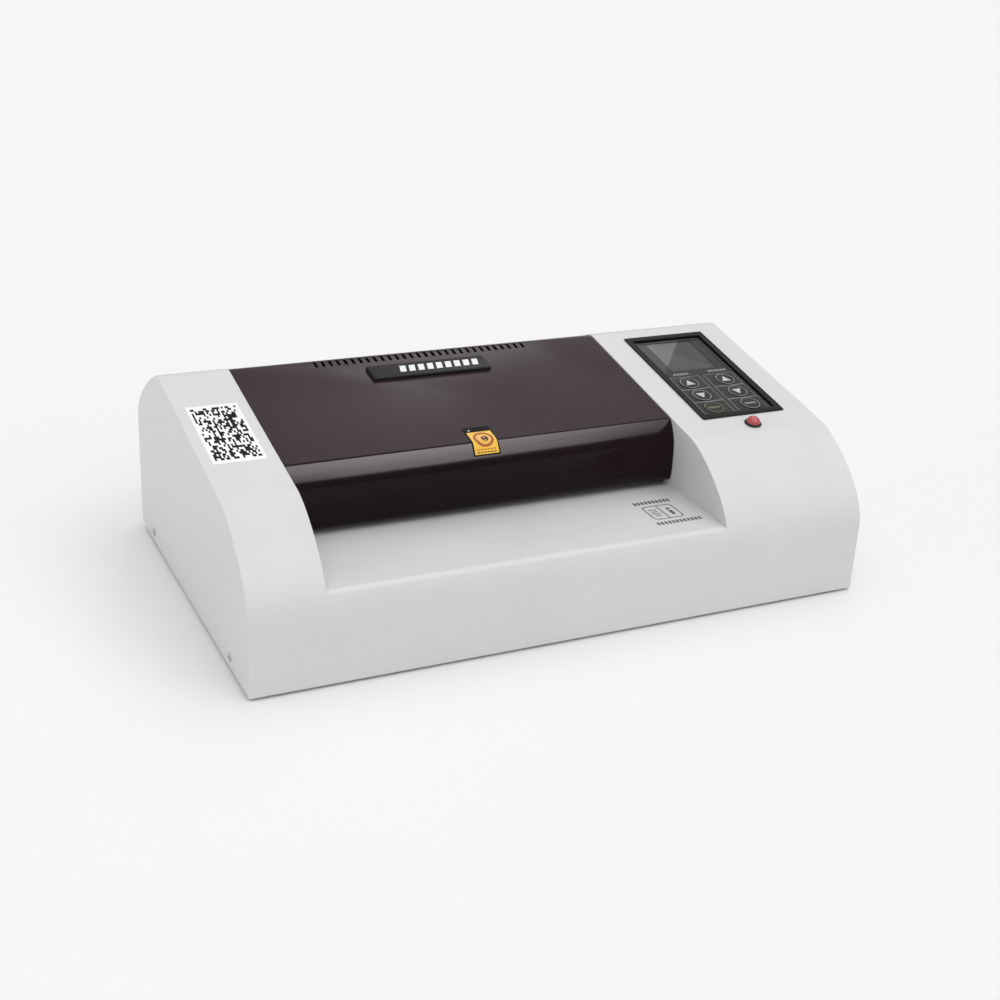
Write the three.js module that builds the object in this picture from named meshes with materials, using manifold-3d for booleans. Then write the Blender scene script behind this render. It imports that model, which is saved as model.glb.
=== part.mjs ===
// Pouch laminator, 330 mm throat, six rollers.
// Millimetres, +Z up, front towards -Y. The origin is on the ground under the middle of the machine.
// Inside the housing group, y counts back from the front wall and z up from the casing's lower edge.
import * as THREE from 'three';
import { mergeVertices } from 'three/addons/utils/BufferGeometryUtils.js';
import Module from 'manifold-3d';

const wasm = await Module();
wasm.setup();

// ---------- driving dimensions ----------
const WIDTH = 530;
const DEPTH = 326;
const END = WIDTH / 2;
const SHEET = 1.2; // sheet steel of the casing
const GAP = 0.3; // clearance between pieces that meet
const FOOT_HEIGHT = 2.5;
const INLET_PROUD = 1.8; // the inlet's flange stands this far behind the rear wall

// side profile of the end wings
const FRONT_WALL_TOP = 58;
const SLOPE_START = 68.6;
const SLOPE_RISE = 0.1937;
const SLOPE = Math.atan(SLOPE_RISE);
const RIDGE_Y = 250;
const REAR_WALL_TOP = 98;
const REAR_CORNER = 11;
const slopeZ = (y) => 128.2 + SLOPE_RISE * (y - 74);

// throat between the wings
const THROAT_LEFT = -205.5;
const THROAT_RIGHT = 132.8;
const THROAT_MIDDLE = (THROAT_LEFT + THROAT_RIGHT) / 2;
const FIT = 0.4; // shadow gap beside the cover, fascia and rear apron
const PLATFORM_Z = 74.2;
const PLATFORM_END = 127.5;
const LIP_Z = 79;
const FASCIA_TOP = 102.2;
const COVER_DROP = 0.8; // the cover lies a little below the wings' tops
const coverZ = (y) => slopeZ(y) - COVER_DROP;

// rollers and gears
const NIP_Z = 76.8;
const PAIR_RADIUS = 18; // half the distance between the axes of a pair
const ROLLER_RADIUS = 17.7;
const ROLLER_X = [-202.3, 129.6];
const ROLLER_Y = { front: 141, middle: 199, rear: 257 };
const LOWER_Z = NIP_Z - PAIR_RADIUS;
const UPPER_Z = NIP_Z + PAIR_RADIUS;
const SHAFT = 5;
const SHAFT_X = [-216, 155];
const FRAME_LEFT = -211; // middle planes of the two side frames
const FRAME_RIGHT = 138.3;
const FRAME_HALF = 1; // half the side frame's thickness
const MODULE = 2;
const ROLLER_TEETH = 18;
const SMALL_TEETH = 12;
const GEAR_X = [145, 153];
const IDLER_DROP = 7.68;
const PINION = { y: ROLLER_Y.front - 18, z: LOWER_Z - 24 };
const LIFT = 1.2; // travel of the spring-loaded upper rollers

// control panel, in its own frame on the slope of the right wing
const PANEL_X = 199.6;
const PANEL_Y = 162.25;
const PANEL_SIZE = [82, 144.2];
const PANEL_HOLE = [76, 138.2];
const PANEL_RECESS = [70, 131];
const KEY_COLUMNS = { left: -18.5, right: 18.5 };
const KEY_ROWS = { top: -10.5, middle: -32, bottom: -53 };
const KEY_RADIUS = 9;
const WINDOW = [-23, 23, 11.5, 62.3];
const LAMP = { at: [0, -86], body: 4.1, collar: 7.4, dome: 5.4, seat: 2, top: 6.8 };

// inlet module in the rear wall of the right wing
const INLET_X = 205;
const INLET_Z = 39;
const INLET_FLANGE = [25, 30]; // half sizes across and up, here and below
const INLET_BODY = [21, 26];
const INLET_FRONT = 298;
const SOCKET = { z: 27, half: [12, 8.2], front: 309 };
const SOCKET_PINS = [[-7, -2], [7, -2], [0, 2.5]];
const PIN_HALF = [1, 2.5];
const ROCKER_BAY = { z: 52, half: [10.6, 7], front: 311 };
const ROCKER_PIVOT_Y = 319.5;
const ROCKER_TILT = 7; // degrees that the rocker leans to one side of its middle
const ROCKER_HALF_HEIGHT = 6.6;

// ---------- solids ----------
function solid(geometry) {
  const bare = geometry.clone();
  bare.deleteAttribute('normal');
  bare.deleteAttribute('uv');
  const merged = mergeVertices(bare, 1e-4);
  return new wasm.Manifold(new wasm.Mesh({
    numProp: 3,
    vertProperties: new Float32Array(merged.attributes.position.array),
    triVerts: new Uint32Array(merged.index.array),
  }));
}

function geometryOf(body) {
  const { vertProperties, triVerts } = body.getMesh();
  const geometry = new THREE.BufferGeometry();
  geometry.setAttribute('position', new THREE.BufferAttribute(new Float32Array(vertProperties), 3));
  geometry.setIndex(Array.from(triVerts));
  geometry.computeVertexNormals();
  return geometry;
}

const join = (first, ...others) => others.reduce((sum, other) => sum.add(other), first);
const cut = (first, ...others) => others.reduce((rest, other) => rest.subtract(other), first);

// box between two corners
function block([x0, x1], [y0, y1], [z0, z1]) {
  const geometry = new THREE.BoxGeometry(x1 - x0, y1 - y0, z1 - z0);
  return solid(geometry.translate((x0 + x1) / 2, (y0 + y1) / 2, (z0 + z1) / 2));
}

// outline in (y, z), extruded along x
function prism(outline, [x0, x1]) {
  const shape = Array.isArray(outline) ? new THREE.Shape(outline) : outline;
  const options = { depth: x1 - x0, bevelEnabled: false, curveSegments: 10 };
  const geometry = new THREE.ExtrudeGeometry(shape, options);
  const toX = new THREE.Matrix4().makeBasis(
    new THREE.Vector3(0, 1, 0), new THREE.Vector3(0, 0, 1), new THREE.Vector3(1, 0, 0));
  return solid(geometry.applyMatrix4(toX).translate(x0, 0, 0));
}

// outline in (x, y), extruded along z
function plate(outline, [z0, z1]) {
  const shape = Array.isArray(outline) ? new THREE.Shape(outline) : outline;
  const options = { depth: z1 - z0, bevelEnabled: false, curveSegments: 8 };
  const geometry = new THREE.ExtrudeGeometry(shape, options);
  return solid(geometry.translate(0, 0, z0));
}

// round bar along x, y or z: radius, its two ends and the place of its axis
function rod(axis, radius, [from, to], [u, v], sides = 24) {
  const geometry = new THREE.CylinderGeometry(radius, radius, to - from, sides);
  const middle = (from + to) / 2;
  if (axis === 'x') return solid(geometry.rotateZ(-Math.PI / 2).translate(middle, u, v));
  if (axis === 'y') return solid(geometry.translate(u, middle, v));
  return solid(geometry.rotateX(Math.PI / 2).translate(u, v, middle));
}

// turned piece about the x axis; the profile is a list of [radius, x] from axis to axis
function turnedX(profile, [y, z], sides = 24) {
  const points = profile.map(([radius, x]) => new THREE.Vector2(radius, x));
  return solid(new THREE.LatheGeometry(points, sides).rotateZ(-Math.PI / 2).translate(0, y, z));
}

// moves a closed outline inwards by a distance
function inset(points, distance) {
  const count = points.length;
  const normal = (a, b) => new THREE.Vector2(a.y - b.y, b.x - a.x).normalize();
  return points.map((point, i) => {
    const before = normal(points[(i + count - 1) % count], point);
    const after = normal(point, points[(i + 1) % count]);
    const reach = distance / (1 + before.dot(after));
    return point.clone().addScaledVector(before, reach).addScaledVector(after, reach);
  });
}

// turns an open path into the closed section of a bent sheet on the path's left side
function bentSheet(points, thickness) {
  const normal = (a, b) => new THREE.Vector2(a.y - b.y, b.x - a.x).normalize();
  const inner = points.map((point, i) => {
    const before = i > 0 ? normal(points[i - 1], point) : normal(point, points[i + 1]);
    const after = i < points.length - 1 ? normal(point, points[i + 1]) : before;
    const reach = thickness / (1 + before.dot(after));
    return point.clone().addScaledVector(before, reach).addScaledVector(after, reach);
  });
  return [...points, ...inner.reverse()];
}

// outline of a rectangle about the origin
const rectangle = (halfX, halfY) => [[-1, -1], [1, -1], [1, 1], [-1, 1]].map(
  ([x, y]) => new THREE.Vector2(x * halfX, y * halfY));

// a path given by a drawing function, as points
function pathPoints(draw, divisions) {
  const path = new THREE.Path();
  draw(path);
  return path.getPoints(divisions);
}

// ---------- materials ----------
const paint = (color, roughness, metalness) =>
  new THREE.MeshStandardMaterial({ color, roughness, metalness });
const MATERIAL = {
  white: paint(0xe2e2e4, 0.45, 0.1),
  brown: paint(0x453b3e, 0.5, 0.2),
  fascia: paint(0x2b2426, 0.3, 0.2),
  black: paint(0x1b1b1d, 0.5, 0),
  membrane: paint(0x4a4b4e, 0.4, 0),
  window: paint(0x202226, 0.1, 0),
  red: paint(0xb3261f, 0.2, 0),
  steel: paint(0xa9abad, 0.4, 0.9),
  zinc: paint(0xb4b6b2, 0.45, 0.8),
  aluminium: paint(0xc3c5c7, 0.4, 0.9),
  silicone: paint(0x8c4a35, 0.7, 0),
  nylon: paint(0xe8e2d0, 0.5, 0),
  rubber: paint(0x1d1d1d, 0.8, 0),
  board: paint(0x245c3a, 0.5, 0),
};

// ---------- scene graph ----------
const laminator = new THREE.Group();
const housing = new THREE.Group();
housing.position.set(0, -(DEPTH + INLET_PROUD) / 2, FOOT_HEIGHT);
laminator.add(housing);

const slopeGroup = new THREE.Group();
slopeGroup.position.set(PANEL_X, PANEL_Y, slopeZ(PANEL_Y));
slopeGroup.rotation.x = SLOPE;
housing.add(slopeGroup);
slopeGroup.updateMatrix();

function piece(name, body, material, parent = housing) {
  const mesh = new THREE.Mesh(geometryOf(body), material);
  mesh.name = name;
  parent.add(mesh);
  return mesh;
}

// a solid made in the panel's frame, moved to the housing's frame
const onSlope = (body) => solid(geometryOf(body).applyMatrix4(slopeGroup.matrix));

// ---------- casing ----------
const RIDGE_SOFT = 6; // the bend at the ridge is spread over this much on either side
const REAR_FALL = Math.tan(THREE.MathUtils.degToRad(25)); // slope just behind the ridge
const REAR_REACH = 24; // how far that slope and the rear wall lead the curve between them
const REAR_BULGE = 26.8;

// from the top of the rear wall over the ridge to the slope, lowered by a distance
function drawOver(path, drop) {
  const ridgeZ = slopeZ(RIDGE_Y) - drop;
  path.moveTo(DEPTH - drop, REAR_WALL_TOP);
  path.bezierCurveTo(DEPTH - drop, REAR_WALL_TOP + REAR_BULGE,
    RIDGE_Y + REAR_REACH, ridgeZ - REAR_REACH * REAR_FALL,
    RIDGE_Y + RIDGE_SOFT, ridgeZ - RIDGE_SOFT * REAR_FALL);
  path.quadraticCurveTo(RIDGE_Y, ridgeZ, RIDGE_Y - RIDGE_SOFT, ridgeZ - RIDGE_SOFT * SLOPE_RISE);
}

function wingOutline() {
  return pathPoints((path) => {
    drawOver(path, 0);
    path.lineTo(SLOPE_START, slopeZ(SLOPE_START));
    path.bezierCurveTo(49.2, 123.4, 0, 89.6, 0, FRONT_WALL_TOP);
    path.lineTo(0, 0);
    path.lineTo(DEPTH - REAR_CORNER, 0);
    path.absarc(DEPTH - REAR_CORNER, REAR_CORNER, REAR_CORNER, -Math.PI / 2, 0, false);
  }, 8);
}

const SIDE_SCREWS = [{ name: 'front', y: 47.6, z: 9.5 }, { name: 'rear', y: 280, z: 9.5 }];
const SCREW_RADIUS = 1.8;

// one welded shell: two end wings joined by the front wall and the platform
function casingShell() {
  const outline = wingOutline();
  const inner = inset(outline, SHEET);
  const FLANGE = 9; // edge that stays along the wings' tops and backs
  const WALL_END = 104; // the wings' inner walls stop here, under the cover
  const SILL = 20; // the openings behind the inner walls reach down below this
  const ABOVE = 300;
  const BELOW = -6;
  const throat = [THROAT_LEFT, THROAT_RIGHT];
  const throatWalls = [THROAT_LEFT - SHEET, THROAT_RIGHT + SHEET];
  const outside = cut(prism(outline, [-END, END]),
    block(throat, [-1, PLATFORM_END], [PLATFORM_Z, ABOVE]),
    block(throat, [PLATFORM_END, DEPTH + 1], [-1, ABOVE]));
  const hollow = cut(
    join(prism(inner, [-END + SHEET, END - SHEET]),
      block([-END + SHEET, END - SHEET], [SHEET, DEPTH - REAR_CORNER], [BELOW, SHEET + 1])),
    block(throatWalls, [-1, DEPTH + 1], [PLATFORM_Z - SHEET, ABOVE]),
    block(throatWalls, [DEPTH - FLANGE, DEPTH + 1], [BELOW - 1, ABOVE]));
  const behindWall = (x) => cut(
    join(prism(inset(outline, FLANGE), x), block(x, [FLANGE, DEPTH - FLANGE], [BELOW, SILL])),
    block([x[0] - 1, x[1] + 1], [-1, WALL_END], [BELOW - 1, ABOVE]));
  const screwHoles = SIDE_SCREWS.map(
    ({ y, z }) => rod('x', SCREW_RADIUS + GAP, [-END - 2, END + 2], [y, z], 12));
  const through = [-6, 6];
  const panelHole = plate(rectangle(PANEL_HOLE[0] / 2, PANEL_HOLE[1] / 2), through);
  const lampHole = rod('z', LAMP.body + GAP, through, LAMP.at, 16);
  const [inletX, inletZ] = INLET_BODY.map((half) => half + GAP);
  const inletHole = block(
    [INLET_X - inletX, INLET_X + inletX], [DEPTH - 5, DEPTH + 5], [INLET_Z - inletZ, INLET_Z + inletZ]);
  return cut(outside, hollow,
    behindWall([THROAT_LEFT - SHEET - 1, THROAT_LEFT + 0.2]),
    behindWall([THROAT_RIGHT - 0.2, THROAT_RIGHT + SHEET + 1]),
    ...screwHoles, onSlope(panelHole), onSlope(lampHole), inletHole);
}

// a row of cooling slots that runs up to the ridge
const VENTS = { first: -132.5, pitch: 6.64, count: 30, y: [238, 248.2], width: 2.8 };
const COVER_X = [THROAT_LEFT + FIT, THROAT_RIGHT - FIT];
const COVER_TAIL = { y: 314, z: 88.2, lip: 86, bend: 5 }; // the rear edge, turned in above the entry slot

function topCover() {
  const RETURN = 8; // depth of the edges folded down beside the wings
  const RETURN_FRONT = 112;
  const front = FASCIA_TOP + 0.7; // leaves a fine seam in front of the fascia's top
  const back = DEPTH - COVER_DROP;
  const { y: tailY, z: tailZ, lip, bend } = COVER_TAIL;
  const over = pathPoints((path) => {
    path.moveTo(tailY, tailZ);
    path.lineTo(back - bend, lip);
    path.quadraticCurveTo(back, lip, back, lip + bend);
    path.lineTo(back, REAR_WALL_TOP);
    drawOver(path, COVER_DROP);
    path.lineTo(front, coverZ(front));
  }, 8).filter((point, i, all) => i === 0 || point.distanceTo(all[i - 1]) > 0.01);
  const folded = pathPoints((path) => {
    drawOver(path, COVER_DROP);
    path.lineTo(RETURN_FRONT, coverZ(RETURN_FRONT));
  }, 8);
  const [x0, x1] = COVER_X;
  const vents = Array.from({ length: VENTS.count }, (_, i) => {
    const x = VENTS.first + VENTS.pitch * i;
    const z = [coverZ(VENTS.y[0]) - 10, coverZ(VENTS.y[1]) + 10];
    return block([x - VENTS.width / 2, x + VENTS.width / 2], VENTS.y, z);
  });
  return cut(
    join(
      prism(bentSheet(over, SHEET), COVER_X),
      prism(bentSheet(folded, RETURN), [x0, x0 + SHEET]),
      prism(bentSheet(folded, RETURN), [x1 - SHEET, x1])),
    ...vents);
}

// pressed strip below the cover's front edge; its lower edge curls in above the exit slot
function frontFascia() {
  const TUCK = SHEET + 0.5; // the upper flange lies this far under the cover
  const FLANGE_END = 109;
  const step = FASCIA_TOP + 1.2;
  const points = pathPoints((path) => {
    path.moveTo(FLANGE_END, coverZ(FLANGE_END) - TUCK);
    path.lineTo(step, coverZ(step) - TUCK);
    path.lineTo(FASCIA_TOP, coverZ(FASCIA_TOP));
    path.bezierCurveTo(96.8, 126.4, 92.6, 118, 92.4, 110.4);
    path.bezierCurveTo(92.1, 103, 91.6, 96, 91.9, 89.6);
    path.bezierCurveTo(92.1, 84.5, 92.9, LIP_Z, 97.5, LIP_Z);
    path.lineTo(103, LIP_Z);
    path.lineTo(108, LIP_Z + 5);
  }, 7);
  return prism(bentSheet(points, SHEET), COVER_X);
}

// white back panel below the entry slot; its top leads the pouch in
function rearApron() {
  const RAMP_END = 270.5;
  const BEND = [6, 5];
  const points = pathPoints((path) => {
    path.moveTo(DEPTH - REAR_CORNER, 0);
    path.absarc(DEPTH - REAR_CORNER, REAR_CORNER, REAR_CORNER, -Math.PI / 2, 0, false);
    path.lineTo(DEPTH, PLATFORM_Z - BEND[1]);
    path.quadraticCurveTo(DEPTH, PLATFORM_Z, DEPTH - BEND[0], PLATFORM_Z);
    path.lineTo(RAMP_END, PLATFORM_Z);
  }, 6);
  return prism(bentSheet(points, SHEET), COVER_X);
}

const PAN = 1.5; // base sheet
const PAN_RIM = 16;
const PAN_VENTS = { first: -170, pitch: 42, count: 7, width: 4, y: [165, 235] };
const FEET = { x: 235, front: 30, rear: 288, radius: 11, spigot: 3.9, spigotTop: 2 };

function basePan() {
  const edge = END - SHEET - GAP;
  const front = SHEET + GAP;
  const back = DEPTH - REAR_CORNER - GAP;
  const tray = cut(
    block([-edge, edge], [front, back], [0, PAN_RIM]),
    block([-edge + PAN, edge - PAN], [front + PAN, back + 1], [PAN, PAN_RIM + 1]));
  const footHoles = [-FEET.x, FEET.x].flatMap((x) => [FEET.front, FEET.rear].map(
    (y) => rod('z', FEET.spigot + GAP, [-1, PAN + 1], [x, y], 12)));
  const screwHoles = SIDE_SCREWS.map(({ y, z }) => rod('x', SCREW_RADIUS + GAP, [-END, END], [y, z], 12));
  const vents = Array.from({ length: PAN_VENTS.count }, (_, i) => {
    const x = PAN_VENTS.first + PAN_VENTS.pitch * i;
    return block([x - PAN_VENTS.width / 2, x + PAN_VENTS.width / 2], PAN_VENTS.y, [-1, PAN + 1]);
  });
  return cut(tray, ...footHoles, ...screwHoles, ...vents);
}

const foot = () => join(
  rod('z', FEET.radius, [-FOOT_HEIGHT, -GAP], [0, 0], 20),
  rod('z', FEET.spigot, [-1, PAN + FEET.spigotTop], [0, 0], 10));

function sideScrew(side) {
  const HEAD = { radius: 3.5, flat: 2.2, rim: 0.3, height: 1.2 };
  const LENGTH = 8;
  const screw = turnedX([[0, -HEAD.height], [HEAD.flat, -HEAD.height], [HEAD.radius, -HEAD.rim],
    [HEAD.radius, 0], [SCREW_RADIUS, 0], [SCREW_RADIUS, LENGTH], [0, LENGTH]], [0, 0], 12);
  return side < 0 ? screw : solid(geometryOf(screw).rotateZ(Math.PI));
}

const NAME_PLATE = {
  x: -40, y: 217.3, width: 107, height: 21.4, thickness: 3, chamfer: 1, chamferDepth: 0.5,
};

function namePlate() {
  const { width, height, thickness, chamfer, chamferDepth } = NAME_PLATE;
  const face = new THREE.Shape(rectangle(width / 2 - chamfer, height / 2 - chamfer));
  const geometry = new THREE.ExtrudeGeometry(face, {
    depth: thickness - 2 * chamferDepth,
    bevelEnabled: true,
    bevelSize: chamfer,
    bevelThickness: chamferDepth,
    bevelSegments: 1,
  });
  return solid(geometry.translate(0, 0, chamferDepth));
}

piece('casing_shell', casingShell(), MATERIAL.white);
piece('top_cover', topCover(), MATERIAL.brown);
piece('front_fascia', frontFascia(), MATERIAL.fascia);
piece('rear_apron', rearApron(), MATERIAL.white);
piece('base_pan', basePan(), MATERIAL.zinc);
for (const [side, x] of [['left', -FEET.x], ['right', FEET.x]]) {
  for (const end of ['front', 'rear']) {
    piece(`foot_${end}_${side}`, foot(), MATERIAL.rubber).position.set(x, FEET[end], 0);
  }
}
for (const [side, sign] of [['left', -1], ['right', 1]]) {
  for (const { name, y, z } of SIDE_SCREWS) {
    piece(`screw_${name}_${side}`, sideScrew(sign), MATERIAL.zinc).position.set(sign * END, y, z);
  }
}
const namePlateMesh = piece('name_plate', namePlate(), MATERIAL.black);
namePlateMesh.rotation.x = SLOPE;
namePlateMesh.position.set(NAME_PLATE.x, NAME_PLATE.y, coverZ(NAME_PLATE.y) + GAP);

// ---------- control panel ----------
const centred = ([width, height], z) => plate(rectangle(width / 2, height / 2), z);
const keyPlaces = Object.entries(KEY_COLUMNS).flatMap(([column, x]) => Object.entries(KEY_ROWS).map(
  ([row, y]) => ({ name: `key_${column}_${row}`, x, y })));
const BEZEL_TOP = 1.3;
const SKIRT_BOTTOM = -6;
const LEDGE = 3; // width of the ledge that the membrane rests on
const MEMBRANE_Z = [-2.5, -1.5];
const WINDOW_Z = [-3.6, -1.7];
const KEY_Z = [-3.6, -0.9];
const BOARD_Z = [-12, -10.4];
const BOARD_SIZE = [72, 134];

function panelBezel() {
  const POST = { radius: 2.2, inset: 3 };
  const ledge = PANEL_RECESS.map((size) => size - 2 * LEDGE);
  const skirt = PANEL_HOLE.map((size) => size - 2 * GAP);
  const [postX, postY] = skirt.map((size) => size / 2 - POST.inset);
  const posts = [-postX, postX].flatMap((x) => [-postY, postY].map(
    (y) => rod('z', POST.radius, [BOARD_Z[1] + GAP, SKIRT_BOTTOM + 1], [x, y], 12)));
  return join(
    cut(join(centred(PANEL_SIZE, [GAP, BEZEL_TOP]), centred(skirt, [SKIRT_BOTTOM, 1])),
      centred(PANEL_RECESS, [MEMBRANE_Z[0] - GAP, BEZEL_TOP + 1]),
      centred(ledge, [SKIRT_BOTTOM - 1, 0])),
    ...posts);
}

function keyMembrane() {
  const [x0, x1, y0, y1] = WINDOW;
  return cut(
    centred(PANEL_RECESS.map((size) => size - 2 * GAP), MEMBRANE_Z),
    block([x0, x1], [y0, y1], [-4, 0]),
    ...keyPlaces.map(({ x, y }) => rod('z', KEY_RADIUS + GAP, [-4, 0], [x, y], 20)));
}

function displayWindow() {
  const [x0, x1, y0, y1] = WINDOW;
  return block([x0 + GAP, x1 - GAP], [y0 + GAP, y1 - GAP], WINDOW_Z);
}

const keyCap = () => rod('z', KEY_RADIUS, KEY_Z, [0, 0], 20);

// indicator with its collar: a dome over a threaded body
function powerLamp() {
  const { body, collar, dome: radius, seat, top } = LAMP;
  const STEPS = 4;
  const dome = Array.from({ length: STEPS + 1 }, (_, i) => {
    const angle = (Math.PI / 2) * (i / STEPS);
    const r = i < STEPS ? radius * Math.cos(angle) : 0;
    return new THREE.Vector2(r, seat + (top - seat) * Math.sin(angle));
  });
  const profile = [[0, -8], [body, -8], [body, GAP], [collar, GAP], [collar, 1.2], [collar - 1.2, seat]].map(
    ([r, z]) => new THREE.Vector2(r, z));
  return solid(new THREE.LatheGeometry([...profile, ...dome], 16).rotateX(Math.PI / 2));
}

function controlBoard() {
  const [x0, x1, y0, y1] = WINDOW;
  const root = BOARD_Z[0] + 0.5; // components start a little inside the board
  const SWITCH = { half: 3, top: -4.4 };
  const switches = keyPlaces.map(({ x, y }) => block(
    [x - SWITCH.half, x + SWITCH.half], [y - SWITCH.half, y + SWITCH.half], [root, SWITCH.top]));
  const display = block([x0 + 2, x1 - 2], [y0 + 2, y1 - 2], [root, -4.2]);
  const relay = block([-20, 8], [-60, -44], [-27, root]);
  const transformer = block([-22, 20], [10, 45], [-42, root]);
  return join(centred(BOARD_SIZE, BOARD_Z), display, relay, transformer, ...switches);
}

piece('panel_bezel', panelBezel(), MATERIAL.black, slopeGroup);
piece('key_membrane', keyMembrane(), MATERIAL.membrane, slopeGroup);
piece('display_window', displayWindow(), MATERIAL.window, slopeGroup);
for (const { name, x, y } of keyPlaces) {
  piece(name, keyCap(), MATERIAL.membrane, slopeGroup).position.set(x, y, 0);
}
piece('power_lamp', powerLamp(), MATERIAL.red, slopeGroup).position.set(...LAMP.at, 0);
piece('control_board', controlBoard(), MATERIAL.board, slopeGroup);

// ---------- inlet and power switch ----------
function powerInlet() {
  const around = (x, z, [halfX, halfZ], y) => block([x - halfX, x + halfX], y, [z - halfZ, z + halfZ]);
  const outside = DEPTH + 5;
  const pins = SOCKET_PINS.map(
    ([x, z]) => around(INLET_X + x, SOCKET.z + z, PIN_HALF, [SOCKET.front - 4, DEPTH - 2]));
  return join(
    cut(
      join(
        around(INLET_X, INLET_Z, INLET_FLANGE, [DEPTH + GAP, DEPTH + INLET_PROUD]),
        around(INLET_X, INLET_Z, INLET_BODY, [INLET_FRONT, DEPTH + 1])),
      around(INLET_X, SOCKET.z, SOCKET.half, [SOCKET.front, outside]),
      around(INLET_X, ROCKER_BAY.z, ROCKER_BAY.half, [ROCKER_BAY.front, outside])),
    ...pins);
}

// rocker seen from above: two faces that meet in a shallow valley, drawn about its pivot
function powerRocker() {
  const [reach, base, back, face, valley] = [9.7, 4, 6.5, 5.6, 4.4];
  const outline = [[-reach, -3.5], [-base, -back], [base, -back], [reach, -3.5], [reach, face], [0, valley],
    [-reach, face]];
  const tilt = THREE.MathUtils.degToRad(ROCKER_TILT);
  const turned = outline.map(([x, y]) => new THREE.Vector2(x, y).rotateAround(new THREE.Vector2(), tilt));
  return plate(turned, [-ROCKER_HALF_HEIGHT, ROCKER_HALF_HEIGHT]);
}

piece('power_inlet', powerInlet(), MATERIAL.black);
piece('power_rocker', powerRocker(), MATERIAL.black).position.set(INLET_X, ROCKER_PIVOT_Y, ROCKER_BAY.z);

// ---------- rollers ----------
function roller([y, z]) {
  return turnedX([
    [0, SHAFT_X[0]], [SHAFT, SHAFT_X[0]], [SHAFT, ROLLER_X[0]], [ROLLER_RADIUS, ROLLER_X[0]],
    [ROLLER_RADIUS, ROLLER_X[1]], [SHAFT, ROLLER_X[1]], [SHAFT, SHAFT_X[1]], [0, SHAFT_X[1]]], [y, z], 20);
}

// angle by which a gear turns so that its teeth fall into the gaps of its partner:
// the partner's own angle, the tooth counts and the direction from the partner to the gear
function meshAngle(partnerAngle, partnerTeeth, teeth, direction) {
  const share = ((direction - partnerAngle) * partnerTeeth) / (2 * Math.PI);
  return direction + Math.PI - (0.5 - share) * ((2 * Math.PI) / teeth);
}

// teeth with the widths of involute ones at root and tip; the first is centred on the given angle
function gearOutline(teeth, firstTooth) {
  const BACKLASH = 0.3;
  const [ADDENDUM, DEDENDUM] = [0.8, 1.15]; // in modules
  const pressure = THREE.MathUtils.degToRad(20);
  const pitch = (MODULE * teeth) / 2;
  const involute = (angle) => Math.tan(angle) - angle;
  const baseRadius = pitch * Math.cos(pressure);
  const halfTooth = (radius) => {
    const angle = radius > baseRadius ? Math.acos(baseRadius / radius) : 0;
    return ((Math.PI * MODULE) / 2 - BACKLASH) / 2 / pitch + involute(pressure) - involute(angle);
  };
  const radii = [pitch - DEDENDUM * MODULE, pitch + ADDENDUM * MODULE];
  return Array.from({ length: teeth }, (_, i) => firstTooth + (i * 2 * Math.PI) / teeth).flatMap((middle) => [
    ...radii.map((radius) => [radius, middle - halfTooth(radius)]),
    ...radii.toReversed().map((radius) => [radius, middle + halfTooth(radius)]),
  ]).map(([radius, angle]) => new THREE.Vector2(radius * Math.cos(angle), radius * Math.sin(angle)));
}

const ring = (radius, sides) => Array.from({ length: sides }, (_, i) => new THREE.Vector2(
  radius * Math.cos((2 * Math.PI * i) / sides), radius * Math.sin((2 * Math.PI * i) / sides)));

function gear(teeth, firstTooth, bore, [y, z]) {
  const shape = new THREE.Shape(gearOutline(teeth, firstTooth));
  if (bore > 0) shape.holes.push(new THREE.Path(ring(bore, 12)));
  return solid(geometryOf(prism(shape, GEAR_X)).translate(0, y, z));
}

const side = (name) => [ROLLER_Y[name], LOWER_Z];
const direction = ([y0, z0], [y1, z1]) => Math.atan2(z1 - z0, y1 - y0);
const idlerPlace = (y) => [y, LOWER_Z - IDLER_DROP];
const IDLERS = {
  front: idlerPlace((ROLLER_Y.front + ROLLER_Y.middle) / 2),
  rear: idlerPlace((ROLLER_Y.middle + ROLLER_Y.rear) / 2),
};
const angles = { front: 0 };
angles.idler_front = meshAngle(
  angles.front, ROLLER_TEETH, SMALL_TEETH, direction(side('front'), IDLERS.front));
angles.middle = meshAngle(
  angles.idler_front, SMALL_TEETH, ROLLER_TEETH, direction(IDLERS.front, side('middle')));
angles.idler_rear = meshAngle(
  angles.middle, ROLLER_TEETH, SMALL_TEETH, direction(side('middle'), IDLERS.rear));
angles.rear = meshAngle(
  angles.idler_rear, SMALL_TEETH, ROLLER_TEETH, direction(IDLERS.rear, side('rear')));
angles.pinion = meshAngle(angles.front, ROLLER_TEETH, SMALL_TEETH,
  direction(side('front'), [PINION.y, PINION.z]));

for (const [name, y] of Object.entries(ROLLER_Y)) {
  const upperAngle = meshAngle(angles[name], ROLLER_TEETH, ROLLER_TEETH, Math.PI / 2);
  piece(`lower_roller_${name}`, roller([y, LOWER_Z]), MATERIAL.silicone);
  piece(`upper_roller_${name}`, roller([y, UPPER_Z]), MATERIAL.silicone);
  piece(`lower_gear_${name}`, gear(ROLLER_TEETH, angles[name], SHAFT + GAP, [y, LOWER_Z]), MATERIAL.nylon);
  piece(`upper_gear_${name}`, gear(ROLLER_TEETH, upperAngle, SHAFT + GAP, [y, UPPER_Z]), MATERIAL.nylon);
}
const STUD = 3;
piece('idler_gear_front', gear(SMALL_TEETH, angles.idler_front, STUD + GAP, IDLERS.front), MATERIAL.nylon);
piece('idler_gear_rear', gear(SMALL_TEETH, angles.idler_rear, STUD + GAP, IDLERS.rear), MATERIAL.nylon);

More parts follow.
